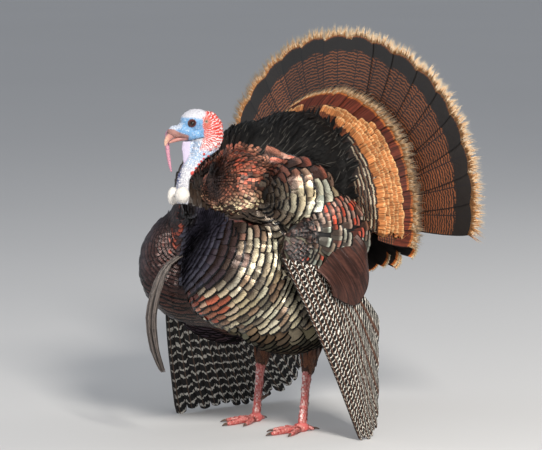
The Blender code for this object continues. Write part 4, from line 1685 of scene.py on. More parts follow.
@dataclass
class BodyPlumage:
    """The scale-like vanes of breast, ruff, shoulders, back, rump, wings' arms and thighs."""

    turned: float = math.radians(97)  # where the coverts' upper rows end and the flank's begin
    scale: VaneFinish = VaneFinish("scale_vanes", (Zone(0.0044, rgb(11, 10, 11)), Zone(1.0)), edge=0.08,
                                   ragged=0.0020, roughness=0.28, metallic=0.5, streak=0.8,
                                   shade=(0.0060, 0.0175, 0.08), edge_colour=rgb(34, 25, 22))
    wing: VaneFinish = VaneFinish("wing_covert_vanes", (Zone(0.0042, rgb(12, 10, 11)), Zone(1.0)),
                                  edge=0.10, roughness=0.34, metallic=0.4, streak=0.8,
                                  shade=(0.0045, 0.0130, 0.1))
    fore: VaneFinish = VaneFinish("fore_breast_vanes", (Zone(0.0012, rgb(14, 13, 16)), Zone(1.0)),
                                  edge=0.08, roughness=0.32, metallic=0.4, streak=0.9, fine=300,
                                  shade=(0.006, 0.016, 0.45), base=rgb(26, 24, 30))
    dull: VaneFinish = VaneFinish("belly_vanes", (Zone(0.0040, rgb(6, 5, 5)), Zone(1.0)), edge=0.10,
                                  roughness=0.8, streak=0.8, gloss=0.05)
    upper: VaneFinish = VaneFinish("shoulder_vanes", (Zone(0.0032, rgb(11, 10, 11)), Zone(1.0)), edge=0.06,
                                   ragged=0.0012, roughness=0.28, metallic=0.5, streak=0.8,
                                   shade=(0.0060, 0.0190, 0.1), edge_colour=rgb(34, 25, 22))
    soft: VaneFinish = VaneFinish("ruff_vanes", (Zone(0.0013, rgb(26, 20, 18)), Zone(1.0)), edge=0.14,
                                  roughness=0.38, metallic=0.4, streak=0.9, shade=(0.006, 0.016, 0.4))
    # On the back, pale shaft lines on a third of the vanes are painted glints: painted highlight on the
    # glossy black.
    dark: VaneFinish = VaneFinish("back_vanes", (Zone(0.0012, rgb(30, 28, 27)), Zone(1.0)), edge=0.16,
                                  roughness=0.55, metallic=0.0, streak=1.2, fine=240, gloss=0.12,
                                  shaft=rgb(74, 71, 66), shaft_half=0.0006, shaft_and_glint_share=0.34)
    fluff: VaneFinish = VaneFinish("thigh_vanes", (Zone(0.0012, rgb(120, 84, 60)), Zone(1.0)), edge=0.12,
                                   roughness=0.6, streak=1.0, gloss=0.25, shade=(0.006, 0.02, 0.5))
    silver_row: VaneFinish = VaneFinish(
        "silver_row_vanes",
        (Zone(0.0010, rgb(110, 66, 40)), Zone(0.0044, rgb(14, 12, 13)), Zone(0.0076),
         Zone(1.0, rgb(40, 30, 26))), roughness=0.35, metallic=0.25, ragged=0.0024, streak=0.9)
    orange_row: VaneFinish = VaneFinish(
        "orange_row_vanes", (Zone(0.0026, rgb(216, 166, 114)), Zone(0.0150, rgb(190, 122, 72)),
                             Zone(0.0180, rgb(96, 54, 34)), Zone(1.0, rgb(112, 62, 40))),
        soft=0.0012, roughness=0.6, ragged=0.005, streak=0.6, fine=260, gloss=0.2, comb=330, vary=True)
    rust_row: VaneFinish = VaneFinish(
        "rust_row_vanes",
        (Zone(0.0024, rgb(226, 160, 96)), Zone(0.0070, rgb(186, 96, 42)), Zone(1.0, BLACK)),
        roughness=0.42, ragged=0.003, streak=0.8, fine=300)

    def tracts(self) -> dict[str, tuple[VaneFinish, str, list[Tract]]]:
        """Every tract by the piece that it belongs to.

        Returns:
            The finish, the slot and the tracts of each piece.
        """
        def trunk(p: Array, o: Array) -> Array:
            """Whether places are on the trunk or the feathered neck."""
            return ((o == Owner.TRUNK.value) | (o == Owner.NECK.value)) & feathered(p)

        def low(p: Array) -> Array:
            """Whether places are on the belly, turned to the floor."""
            return breast_axes(p)[1] > 0.318 + 0.010 * grain(p, 40)

        squared = Shape(0.7, 0.5, 0.97, 0.12)
        wisp = Shape(0.4, 0.5, 0.22, 1.0)
        fore = Tract(
            breast_flow,
            lambda p: np.arctan2(breast_axes(p)[1] - 0.09, np.sign(p[:, 0] + 1e-9) * breast_axes(p)[0]),
            lambda p, n, o: trunk(p, o) & in_breast(p),
            (0.006, 0.114), breast_spacing, breast_tone, squared, reach=2.2, depth=0.0065, wander=0.04,
            tilt=0.05)
        breast = replace(fore, region=lambda p, n, o: trunk(p, o) & in_breast(p) & ~low(p),
                         levels=(0.118, 0.46), tilt=0.08)
        belly = replace(breast, region=lambda p, n, o: trunk(p, o) & in_breast(p) & low(p))
        ruffs = [Tract(
            far_from(root), around(root, (side * 0.6, 0.55, -0.5)),
            lambda p, n, o, side=side: trunk(p, o) & in_ruff(p) & ((p[:, 0] - NECK_MIDDLE) * side > 0),
            (0.004, 0.24), ruff_spacing, ruff_tone, Shape(0.5, 0.5, 0.72, 0.5), reach=2.6, tilt=0.03)
            for side, root in ((1, NECK_LEFT), (-1, NECK_RIGHT))]
        shoulders = [Tract(
            lambda p: far_from(SHOULDER_ROOT)(mirror(p)),
            lambda p: around(SHOULDER_ROOT, (1.0, 0.5, 0.0))(mirror(p)),
            lambda p, n, o, side=side: trunk(p, o) & in_shoulder(p) & (p[:, 0] * side > 0),
            (0.005, 0.30), shoulder_spacing, shoulder_tone, squared, depth=0.008, tilt=0.03)
            for side in SIDES.values()]
        back = Tract(
            tail_flow, lambda p: tail_axes(p)[1],
            lambda p, n, o: trunk(p, o) & ~in_ruff(p) & ~in_breast(p) & ~in_shoulder(p),
            (-0.30, 0.34), even(0.0125, 0.0095), back_tone, wisp, reach=3.2, wander=0.10, camber=0.22)
        arms = [Tract(
            lambda p: far_from(WRIST)(mirror(p)),
            lambda p: around(WRIST, (1.0, 0.0, 0.0))(mirror(p)),
            lambda p, n, o, side=side: (o == Owner.ARM.value) & (p[:, 0] * side > 0),
            (0.004, 0.30), arm_spacing, arm_tone, squared, reach=2.4, depth=0.0055)
            for side in SIDES.values()]
        thighs = [Tract(
            lambda p: -p[:, 2], lambda p: np.arctan2(np.abs(p[:, 0]) - 0.079, p[:, 1] - 0.018),
            lambda p, n, o, side=side: (o == Owner.THIGH.value) & (p[:, 0] * side > 0),
            (-0.33, -0.127), even(0.008, 0.0070), plain(UMBER, rgb(112, 70, 50)),
            Shape(0.4, 0.5, 0.35, 0.9), reach=2.8, depth=0.0035)
            for side in SIDES.values()]
        vent = Tract(
            lambda p: tail_axes(p)[0] + tail_axes(p)[2], lambda p: tail_axes(p)[1],
            lambda p, n, o: o == Owner.VENT.value, (-0.12, 0.16), even(0.012, 0.011),
            plain(UMBER, rgb(110, 84, 66)), Shape(0.4, 0.5, 0.5, 0.8), reach=2.8)

        def ring(levels: tuple[float, float], spacing: Spacing, reach: float, tone: Toner, shape: Shape,
                 depth: float = 0.0055, below: bool = False) -> Tract:
            """One band of the coverts ahead of the fan.

            Args:
                levels: Where it starts and ends.
                spacing: Row step and pitch.
                reach: Length, in row steps.
                tone: Its colours.
                shape: The outline of its vanes.
                depth: How high the tips stand.
                below: Whether it lies below the side.

            Returns:
                The tract.
            """
            def region(p: Array, n: Array, o: Array) -> Array:
                """Above or below the side of the ring; narrower over the top of the fan.

                Args:
                    p: (N, 3) places, measured as EYE_AT is.
                    n: (N, 3) normals.
                    o: (N,) Owner values.

                Returns:
                    Which places belong to it.
                """
                angle = np.abs(tail_axes(p)[1])
                under = angle >= self.turned
                over = ~under & (tail_flow(p) < 0.150 + 0.040 * step(0.15, 0.75, angle))
                return (o == Owner.COVERTS.value) & on_hump(n) & (under if below else over)
            return Tract(tail_flow, lambda p: tail_axes(p)[1], region, levels, spacing, tone, shape,
                         reach=reach, depth=depth)

        saddle = ring((-0.12, 0.066), even(0.0125, 0.0095), 3.2, back_tone, wisp)
        silver = ring((0.060, 0.132), even(0.0098, 0.020), 2.4,
                      plain(rgb(92, 72, 56), rgb(206, 190, 162)), squared)
        orange = ring((0.130, 0.178), even(0.0105, 0.0150), 3.0, plain((0.62, 0.6, 0.58), (1.0, 1.0, 1.0)),
                      Shape(0.6, 0.5, 0.92, 0.25), depth=0.0110)
        rust = ring((0.04, 0.215), even(0.0150, 0.022), 2.4, plain(BLACK), squared, depth=0.0100,
                    below=True)
        bronze, tail = "bronze_plumage", "tail_feathers"
        return {
            "plumage_fore_breast": (self.fore, bronze, [fore]),
            "plumage_breast": (self.scale, bronze, [breast]),
            "plumage_belly": (self.dull, bronze, [belly]),
            "plumage_ruff": (self.soft, bronze, ruffs),
            "plumage_shoulders": (self.upper, bronze, shoulders),
            "plumage_back": (self.dark, bronze, [back, saddle]),
            "plumage_rump": (self.silver_row, bronze, [silver]),
            "plumage_orange": (self.orange_row, tail, [orange]),
            "plumage_flank": (self.rust_row, tail, [rust]),
            "plumage_wing_coverts": (self.wing, bronze, arms),
            "plumage_thighs": (self.fluff, bronze, [*thighs, vent]),
        }

    def build(self, ground: Ground, card: Card) -> None:
        """Lays every tract.

        Args:
            ground: The surface that they stand on.
            card: The vane that is copied.
        """
        for name, (finish, slot, tracts) in self.tracts().items():
            plume, rng = Plume(), np.random.default_rng(SEED)
            count = sum(tract.grow(ground, card, plume, rng) for tract in tracts)
            log.info("%s: %d vanes", name, count)
            plume.piece(name, finish.make(), slot)


@dataclass
class LegScales:
    """Plates down the shanks and over the toes."""

    ankle: float = 0.022  # the height at which the rows of the shanks give way to those of the toes
    finish: VaneFinish = VaneFinish(
        "leg_scale_plates", (Zone(0.0005, rgb(176, 70, 66)), Zone(1.0)), edge=0.16,
        edge_colour=rgb(180, 76, 70), soft=0.0003, ragged=0.0004, roughness=0.38, streak=0.25,
        relief=0.0001, gloss=0.5)

    @staticmethod
    def tone(p: Array, rng: np.random.Generator) -> Array:
        """White scutes in front, partly their own pale colour and partly painted highlight, pink and red
        plates behind and on the toes.

        Args:
            p: (N, 3) places, measured as EYE_AT is.
            rng: The source of chance.

        Returns:
            (N, 3) colours.
        """
        n = len(p)
        tone = blend(rng.uniform(0, 1, n), filled(rgb(214, 122, 116), n), rgb(226, 160, 152))
        # The front scutes are painted near white: partly their own paler colour, partly painted highlight
        # of the light on the front of the shank.
        front = step(-0.002, -0.008, p[:, 1] - 0.003 - 0.07 * (p[:, 2] - 0.06))
        front = front * step(0.020, 0.035, p[:, 2])
        tone = blend(front * (rng.random(n) > 0.25) * 0.85, tone, rgb(240, 222, 218))
        return blend((rng.random(n) > 0.7) * 0.6, tone, rgb(200, 76, 72))

    def build(self, ground: Ground, card: Card) -> None:
        """Lays the plates of both legs.

        Args:
            ground: The surface that they stand on.
            card: The vane that is copied.
        """
        plume, rng = Plume(), np.random.default_rng(SEED)
        count = 0
        for side in SIDES.values():
            def seen(p: Array, x: float, y: float) -> Array:
                """The angle of places about an upright axis on this side."""
                return np.arctan2(p[:, 0] - side * x, p[:, 1] - y)

            for flow, turn, (low, high), levels in (
                (lambda p: -p[:, 2], lambda p: seen(p, 0.079, 0.004), (self.ankle, 0.140),
                 (-0.140, -0.022)),
                (lambda p: np.hypot(p[:, 0] - side * 0.080, p[:, 1] + 0.002),
                 lambda p: seen(p, 0.080, -0.002), (0.004, self.ankle), (0.014, 0.092)),
            ):
                count += Tract(
                    flow, turn,
                    lambda p, n, o: ((p[:, 0] * side > 0) & (p[:, 2] > low) & (p[:, 2] <= high)
                                     & (n[:, 2] > -0.4)),
                    levels, even(0.0042, 0.0048), self.tone, Shape(0.9, 0.5, 0.92, 0.2), reach=1.35,
                    girth=0.56, depth=0.0011, thick=0.0003, camber=0.06, wander=0.02, tilt=0.0,
                ).grow(ground, card, plume, rng)
        log.info("leg plates: %d", count)
        plume.piece("leg_scale_plates", self.finish.make(), "leg_scales")


@dataclass
class Bristles:
    """Sparse hair-like feathers on the bare head and fore neck."""

    count: int = 800
    length: float = 0.0030
    thick: float = 0.00022

    def build(self, ground: Ground, barb: Card) -> None:
        """Plants the bristles, all lying back and down.

        Args:
            ground: The surface that they stand on.
            barb: The loose barb that is copied.
        """
        rng = np.random.default_rng(SEED)
        local = carried(HEAD.inverted(), ground.points)
        masks = head_masks(local)
        odds = bare_share(local) * (0.25 * masks["crown"] + masks["brow"] + 0.5 * masks["face"]
                                    + masks["under"] + 0.4 * masks["neck"] + 0.15 * masks["nape"])
        odds = odds * (1 - masks["caruncle"]) * (1 - masks["snood"]) * (1 - masks["lid"])
        chosen = rng.choice(len(odds), self.count, replace=False, p=odds / odds.sum())
        root, up = ground.points[chosen], ground.normals[chosen]
        back = np.array(HEAD.to_3x3() @ Vector((-0.5, 0, -1.0)))
        lie = unit(back - up * (up @ back)[:, None] + up * 0.45)
        side = np.cross(lie, up)
        x, t = barb.across, barb.along
        size = self.length * rng.uniform(0.6, 1.2, self.count)
        points = root[:, None] + lie[:, None] * (size[:, None] * t)[..., None]
        points = points + side[:, None] * (self.thick * x * (1 - t))[None, :, None]
        points = points + up[:, None] * (self.thick * barb.side * (1 - t))[None, :, None]
        spot = ground.spot[chosen][:, None] + PATCH * np.stack([x / 2, t - 0.5], -1)[None]
        plume = Plume()
        plume.add(barb, points, np.full((self.count, len(x)), self.thick), size[:, None] * (1 - t), size,
                  rng.random(self.count), filled(rgb(34, 32, 38), self.count), spot)
        finish = VaneFinish("head_bristles", (Zone(1.0),), streak=0.3, roughness=0.6, relief=0.0001)
        plume.piece("head_bristles", finish.make(), "bare_skin")


# ------------------------------------------------------------------ tail
def smooth_line(points: Sequence[Sequence[float]], share: Array) -> Array:
    """Places on a smooth line through points.

    Args:
        points: The line's own points.
        share: Shares of the way along it.

    Returns:
        One row per share.
    """
    rows = np.array(points, float)
    rows = np.vstack([2 * rows[0] - rows[1], rows, 2 * rows[-1] - rows[-2]])
    place = np.clip(share, 0, 1) * (len(points) - 1)
    index = np.minimum(place.astype(int), len(points) - 2)
    t = (place - index)[..., None]
    a, b, c, d = (rows[index + k] for k in range(4))
    bend = (2 * a - 5 * b + 4 * c - d) * t**2 + (3 * b - a - 3 * c + d) * t**3
    return 0.5 * (2 * b + (c - a) * t + bend)


@dataclass
class Spray:
    """A ring of long feathers about the fan's axis, laid one over another from the middle."""

    name: str
    finish: VaneFinish
    count: int
    half_spread: float
    profile: tuple[tuple[float, float], ...]  # depth ahead of the fan and radius, root to tip
    stretch: Callable[[float], float]
    half: float
    shape: Shape
    fringe: float  # length of the loose barbs
    barbs: int  # how many a feather has
    wander: float  # how unevenly the feathers are turned
    uneven: float  # how unevenly long they are
    middle_angle: float = 0.0
    layer: float = 0.0008  # how far behind the next one each feather lies
    thick: float = 0.0004
    barb_thick: float = 0.0013
    barb_from: float = 0.985  # where on the outline the loose barbs stand
    band: Callable[[float], float] = lambda angle: 1.0  # how much wider the dark band is
    band_from: float = 1.0
    band_width: float = 0.031
    flare: float = 0.0  # how much longer the fringe is at the outermost feathers
    node: str = ""  # the CAD node that the feathers stand for

    def line(self) -> tuple[Array, Array, Array]:
        """Depth, radius and length along a feather's middle, from root to tip.

        Returns:
            Three arrays.
        """
        share = np.linspace(0, 1, 60)
        rows = smooth_line([(a, b, 0.0) for a, b in self.profile], share)
        gaps = np.linalg.norm(np.diff(rows, axis=0), axis=1)
        return rows[:, 0], rows[:, 1], np.concatenate([[0.0], np.cumsum(gaps)])

    def build(self, card: Card, barb: Card) -> None:
        """Lays the feathers and their loose barbs.

        Args:
            card: The vane that is copied.
            barb: The loose barb that is copied.
        """
        rng = np.random.default_rng(SEED + self.count)
        plume, loose = Plume(), Plume()
        line = self.line()
        x, t = card.across, card.along
        width = self.shape.width(t)
        pitch = 2 * self.half_spread / self.count
        for index in range(self.count):
            out = pitch * (index + 0.5) - self.half_spread
            aim = self.middle_angle + out + rng.normal(0, self.wander)
            fringe = self.fringe * (1 + self.flare * abs(out / self.half_spread) ** 1.5)
            length = line[2][-1] - fringe - abs(rng.normal(0, self.uneven))
            fall = self.shape.bow * self.half * (width * x) ** 2
            along = t * length - fall * t**4
            rng.random()  # one draw is passed over here
            pose = (aim, out, abs(out) / pitch)
            local = self.placed(pose, line, along, self.half * width * x, x, t)
            local[:, 1] -= card.side * self.thick
            from_tip = np.clip(length * (1 - t) - fall * (1 - t**4), 0, None)
            stretch = self.band(out)
            past = np.clip(from_tip - self.band_from, 0, None)
            within = np.minimum(past, self.band_width * stretch)
            from_tip = np.minimum(from_tip, self.band_from) + within / stretch + past - within
            cell = np.stack([(index + 0.5 + 0.46 * x) / self.count, 0.02 + 0.96 * t], -1)[None]
            tone = np.full((1, 3), rng.uniform(0.62, 1.12))
            plume.add(card, carried(FAN, local)[None], np.full((1, len(x)), self.half), from_tip[None],
                      np.array([length]), rng.random(1), tone, cell)
            self.fray(loose, barb, rng, pose, line, (length, fringe), index)
        obj = plume.piece(self.name, self.finish.make(), "tail_feathers")
        if self.node:
            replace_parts(obj, self.node)
        loose.piece(self.name + "_fringe", FRINGE.make(), "tail_feathers")

    def placed(self, pose: Place, line: tuple[Array, Array, Array],
               along: Array, across: Array, x: Array, t: Array) -> Array:
        """Places in the fan's own axes.

        Args:
            pose: Angle, angle from the middle feather, and place in the pile.
            line: Depth, radius and length along the middle.
            along: Lengths from the root.
            across: Distances across.
            x: Shares across.
            t: Shares along.

        Returns:
            One row per place.
        """
        angle, out, off = pose
        depth, radius, run = line
        ahead = np.interp(along, run, depth)
        reach = np.interp(along, run, radius) + np.clip(along - run[-1], 0, None)
        reach = reach * (1 + (self.stretch(angle) - 1) * np.clip(reach / radius[-1], 0, 1.1))
        sine, cosine = math.sin(angle), math.cos(angle)
        local = np.stack([reach * sine + across * cosine, 0 * along, reach * cosine - across * sine], -1)
        real = np.hypot(local[:, 0], local[:, 2])
        tilt = math.copysign(1.0, out) * x * 0.7 * self.layer * np.clip(t * 2, 0, 1)
        local[:, 1] = FAN_DISH * (real / FAN_RADIUS) ** 2 - ahead + off * self.layer - tilt
        return local

    def fray(self, loose: Plume, barb: Card, rng: np.random.Generator, pose: Place,
             line: tuple[Array, Array, Array], reach: tuple[float, float], index: int) -> None:
        """Adds the frayed tip of one feather.

        Args:
            loose: What the barbs are gathered in.
            barb: The loose barb that is copied.
            rng: The source of chance.
            pose: Angle, angle from the middle feather, and place in the pile.
            line: Depth, radius and length along the middle.
            reach: The feather's length and its fringe's.
            index: The feather's number.
        """
        n = self.barbs
        length, fringe = reach
        x0 = np.linspace(-0.99, 0.99, n) + rng.normal(0, 0.010, n)
        clump = np.sin(x0 * rng.uniform(9, 14) + rng.uniform(0, 6)) * np.sin(x0 * 27 + rng.uniform(0, 6))
        size = fringe * (1.15 + 0.50 * clump + rng.uniform(-0.25, 0.25, n))
        tip_width = self.shape.width(np.array([self.barb_from]))[0]
        start = length - self.shape.bow * self.half * (tip_width * x0) ** 2 - 0.4 * fringe
        lean = 0.30 * x0 + 0.25 * clump + rng.normal(0, 0.10, n)
        x, t = barb.across, barb.along
        thick = self.barb_thick * (1.0 - 0.25 * rng.random(n))
        along = start[:, None] + size[:, None] * t * np.cos(lean)[:, None]
        across = self.half * tip_width * x0[:, None] + size[:, None] * t * np.sin(lean)[:, None]
        across = across + thick[:, None] * x * (1 - t) * 1.2
        v = len(x)
        local = self.placed(pose, line, along.ravel(), across.ravel(), np.repeat(x0, v), np.ones(n * v))
        local = local.reshape(n, v, 3)
        local[..., 1] += 0.0005 * barb.side * (1 - t) - self.thick + rng.uniform(-0.002, 0.002, (n, 1)) * t
        cell = np.stack([(index + 0.5 + 0.46 * x0[:, None] + 0.002 * x) / self.count,
                         np.broadcast_to(0.1 + 0.8 * t, (n, v))], -1)
        tone = np.tile(rng.uniform(0.8, 1.1, (n, 1)), (1, 3))
        loose.add(barb, carried(FAN, local.reshape(-1, 3)).reshape(n, v, 3), np.full((n, v), 0.001),
                  size[:, None] * (1 - t), size, rng.random(n), tone, cell)


FRINGE = VaneFinish("frayed_tips", (Zone(0.009, rgb(240, 222, 194)), Zone(0.019, rgb(226, 190, 148)),
                                    Zone(1.0, rgb(196, 138, 86))),
                    soft=0.003, streak=0.3, roughness=0.7, relief=0.0002, gloss=0.3)


@dataclass
class Tail:
    """The raised fan, the long coverts in front of it, and those below."""

    fan: VaneFinish = VaneFinish(
        "fan_vanes",
        (Zone(0.0040, rgb(200, 150, 102)), Zone(0.0090, rgb(164, 98, 54)), Zone(0.040, rgb(34, 29, 26)),
         Zone(1.0, rgb(136, 80, 48))),
        soft=0.0024, ragged=0.0036, bars=Bars(0.0068, rgb(38, 30, 28), 0.60, 0.20, 0.0034), vary=True,
        shaft=rgb(30, 26, 28), shaft_half=0.0012, streak=0.9, fine=260, roughness=0.46, gloss=0.4,
        edge=0.08, edge_colour=rgb(20, 16, 15))
    covert: VaneFinish = VaneFinish(
        "covert_vanes",
        (Zone(0.0060, rgb(196, 148, 98)), Zone(0.0120, rgb(160, 92, 46)), Zone(0.046, rgb(90, 40, 27)),
         Zone(1.0, rgb(112, 62, 38))),
        soft=0.0020, ragged=0.003, bars=Bars(0.0055, rgb(50, 36, 32), 0.5, 0.3, 0.0015),
        shaft=rgb(44, 24, 20), shaft_half=0.0008, streak=0.9, fine=240, roughness=0.6, edge=0.08,
        edge_colour=rgb(40, 22, 18),
        gloss=0.2, vary=True, comb=300)
    under: VaneFinish = VaneFinish(
        "undertail_vanes",
        (Zone(0.0055, rgb(236, 194, 142)), Zone(0.0125, rgb(206, 112, 52)), Zone(1.0, rgb(26, 22, 22))),
        soft=0.0016, ragged=0.003, vary=True, streak=0.7, roughness=0.42, fine=300, comb=350)

    def build(self, card: Card, small: Card, barb: Card) -> None:
        """Lays the fan, its coverts and the under-tail feathers.

        Args:
            card: The vane of the long feathers.
            small: The vane of the short ones.
            barb: The loose barb of their fringes.
        """
        half = math.radians(91)
        Spray("tail_fan_vanes", self.fan, 18, half, ((0.0, 0.085), (0.0, 0.25), (0.0, FAN_RADIUS)),
              lambda a: 1 - 0.055 * abs(a / half) ** 3, 0.0445, Shape(0.35, 0.85, 0.86, 0.30),
              fringe=0.0170, band=lambda a: 1.0 + 0.75 * abs(a / half) ** 1.5,
              band_from=0.009, barbs=170, wander=0.009, uneven=0.003, flare=0.8,
              node="tail_fan").build(card, barb)
        dome = ((0.098, 0.196), (0.072, 0.216), (0.046, 0.234), (0.022, 0.247), (0.010, 0.256))
        Spray("tail_coverts_long", self.covert, 22, math.radians(99), dome,
              lambda a: 1 + 0.14 * max(0.0, math.cos(a)) ** 2, 0.029, Shape(0.6, 0.7, 0.92, 0.22),
              fringe=0.0180, barbs=120, wander=0.02, uneven=0.004).build(small, barb)
        for which, side in SIDES.items():
            Spray(f"undertail_{which}_vanes", self.under, 13, math.radians(35),
                  ((0.020, 0.06), (0.018, 0.16), (0.013, 0.268)), self.under_reach, 0.021,
                  Shape(0.5, 0.75, 0.8, 0.5), fringe=0.005, barbs=60, wander=0.04, uneven=0.016,
                  middle_angle=side * math.radians(129),
                  layer=0.0012, node=f"undertail_{which}").build(small, barb)

    @staticmethod
    def under_reach(angle: float) -> float:
        """How far the under-tail feathers reach at an angle, as a share of the longest."""
        return float(np.interp(abs(math.degrees(angle)), (94, 99, 104, 114, 123, 129, 147, 178),
                               (0.84, 1.0, 0.98, 0.88, 0.78, 0.66, 0.50, 0.44)))


# ------------------------------------------------------------------ wings
@dataclass(frozen=True)
class Blade:
    """One group of flight feathers, spread between a line of roots and a line of tips."""

    name: str
    roots: tuple[Place, ...]
    tips: tuple[Place, ...]
    count: int
    bulge: float  # how far the sheet stands out between roots and tips
    out: float  # how far all of it stands out
    finish: VaneFinish
    slot: str
    shape: Shape
    tone: Colour = rgb(232, 226, 214)
    overlap: float = 1.5  # a feather's width, in pitches
    pile: float = 0.003  # how far the first feather stands over the last
    ridge: float = 0.0006  # how much higher one edge is
    crown: float = 0.0008  # how much higher the middle is
    thick: float = 0.0004

    def at(self, across: Array, along: Array) -> Array:
        """Places on the sheet that the feathers make, on the left side.

        Args:
            across: Shares from the first feather to the last.
            along: Shares from root to tip.

        Returns:
            (N, 3) places.
        """
        root, tip = smooth_line(self.roots, across), smooth_line(self.tips, across)
        point = root + (tip - root) * along[..., None]
        point[..., 0] += self.bulge * np.sin(np.pi * along) + self.out
        return point

    def build(self, which: str, side: int, card: Card) -> None:
        """Lays the feathers of one wing.

        Args:
            which: Left or right.
            side: 1 on the left, -1 on the right.
            card: The vane that is copied.
        """
        rng = np.random.default_rng(SEED + self.count)
        plume = Plume()
        x, t = card.across, card.along
        for index in range(self.count):
            centre = (index + 0.5) / self.count
            half = self.overlap / (2 * self.count)
            width = self.shape.width(t)
            across = np.clip(centre + half * width * x, 0.0, 1.0)
            tip = rng.uniform(0.975, 1.0)
            along = np.clip(t * tip - 0.010 * self.shape.bow * x**2 * t**4, 0, 1)
            point = self.at(across, along)
            ahead = self.at(across, np.clip(along + NUDGE, 0, 1 + NUDGE)) - self.at(across, along - NUDGE)
            right, left = [np.clip(across + gap, 0, 1) for gap in (NUDGE, -NUDGE)]
            beside = self.at(right, along) - self.at(left, along)
            up = unit(np.cross(unit(beside), unit(ahead)))
            up *= np.sign(up[:, :1] + 1e-9)
            height = (self.count - index) / self.count * self.pile + self.ridge * x
            height = height + self.crown * (1 - x**2) + self.thick * card.side
            point = point + up * height[:, None]
            root, end = self.at(np.full(2, centre), np.array([0.0, 1.0]))
            length = float(np.linalg.norm(end - root))
            real = np.linalg.norm(self.at(right, along) - self.at(across, along), axis=1) / NUDGE
            point[:, 0] *= side
            cell = np.stack([(index + 0.5 + 0.46 * x) / self.count, 0.02 + 0.96 * t], -1)[None]
            tone = np.tile(np.array(self.tone) * rng.uniform(0.8, 1.05), (len(x), 1))
            # Painted shade: the first feather's leading edge is painted dark brown, for the shade between
            # breast and wing.
            if index == 0:
                tone = blend(step(-0.35, -0.60, x), tone, rgb(38, 26, 21))
            plume.add(card, (point + SHIFT)[None], (half * real)[None], (length * (1 - along))[None],
                      np.array([length]), rng.random(1), tone[None], cell)
        obj = plume.piece(f"wing_{which}_{self.name}_vanes", self.finish.make(), self.slot)
        with editing(obj):
            bpy.ops.mesh.normals_make_consistent(inside=False)
        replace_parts(obj, f"wing_{which}_{self.name}")


BARRED = VaneFinish(
    "barred_vanes", (Zone(1.0),), bars=Bars(0.0118, rgb(11, 7, 5), 0.86, -0.85, 0.0056, 0.12),
    shaft=rgb(84, 54, 38), shaft_half=0.0024, streak=0.7, fine=200, roughness=0.5, edge=0.10,
    edge_colour=rgb(52, 34, 27), gloss=0.3, shaft_at=-0.22, wide=0.016)
SHADED = VaneFinish(
    "shaded_vanes", (Zone(1.0),), bars=Bars(0.0200, rgb(13, 12, 12), 0.86, -0.40, 0.0065, 0.15),
    shaft=rgb(92, 70, 56), shaft_half=0.0015, streak=1.0, fine=160, roughness=0.5, edge=0.14,
    edge_colour=rgb(40, 30, 27), gloss=0.3, shaft_at=-0.22, wide=0.022)
PLAIN = VaneFinish(
    "plain_vanes", (Zone(0.004, rgb(24, 17, 16)), Zone(1.0, rgb(70, 42, 34)),), streak=1.0, fine=130,
    shaft=rgb(50, 30, 28), roughness=0.32, metallic=0.3, edge=0.06, gloss=0.35, comb=140)


@dataclass
class Wings:
    """Both wings' flight feathers, dropped so that their tips reach the floor."""

    primary_shape: Shape = Shape(0.8, 0.55, 0.55, 1.0)
    secondary_shape: Shape = Shape(0.9, 0.55, 0.75, 1.0)

    def blades(self) -> dict[str, tuple[Blade, ...]]:
        """The groups of feathers of each wing.

        Returns:
            The groups by left and right.
        """
        shade = rgb(216, 212, 202)
        return {
            "left": (
                Blade("primaries", ((0.222, -0.186, 0.420), (0.236, -0.090, 0.395), (0.238, -0.030, 0.380)),
                      ((0.240, 0.022, 0.0), (0.242, 0.060, 0.0), (0.246, 0.074, 0.060),
                       (0.248, 0.076, 0.265)),
                      10, 0.012, 0.0, BARRED, "barred_feathers", self.primary_shape),
                Blade("secondaries",
                      ((0.236, -0.100, 0.385), (0.227, -0.043, 0.428), (0.218, 0.015, 0.470)),
                      ((0.248, -0.066, 0.330), (0.250, -0.004, 0.302), (0.250, 0.034, 0.344),
                       (0.244, 0.036, 0.412)),
                      6, 0.014, 0.0055, PLAIN, "bronze_plumage", self.secondary_shape,
                      overlap=2.0)),
            "right": (
                Blade("primaries", ((0.226, -0.150, 0.400), (0.236, -0.060, 0.380), (0.240, -0.010, 0.370)),
                      ((0.255, -0.095, 0.0), (0.265, 0.030, 0.0), (0.256, 0.120, 0.0),
                       (0.240, 0.185, 0.010)),
                      10, 0.012, 0.0, SHADED, "barred_feathers", self.primary_shape, shade),
                Blade("secondaries", ((0.236, -0.040, 0.420), (0.218, 0.030, 0.470)),
                      ((0.250, 0.165, 0.022), (0.236, 0.255, 0.030), (0.222, 0.258, 0.140),
                       (0.208, 0.165, 0.360)),
                      9, 0.014, 0.0055, SHADED, "barred_feathers", self.primary_shape, shade)),
        }

    def build(self, card: Card) -> None:
        """Lays every group.

        Args:
            card: The vane that is copied.
        """
        for which, groups in self.blades().items():
            for blade in groups:
                blade.build(which, SIDES[which], card)


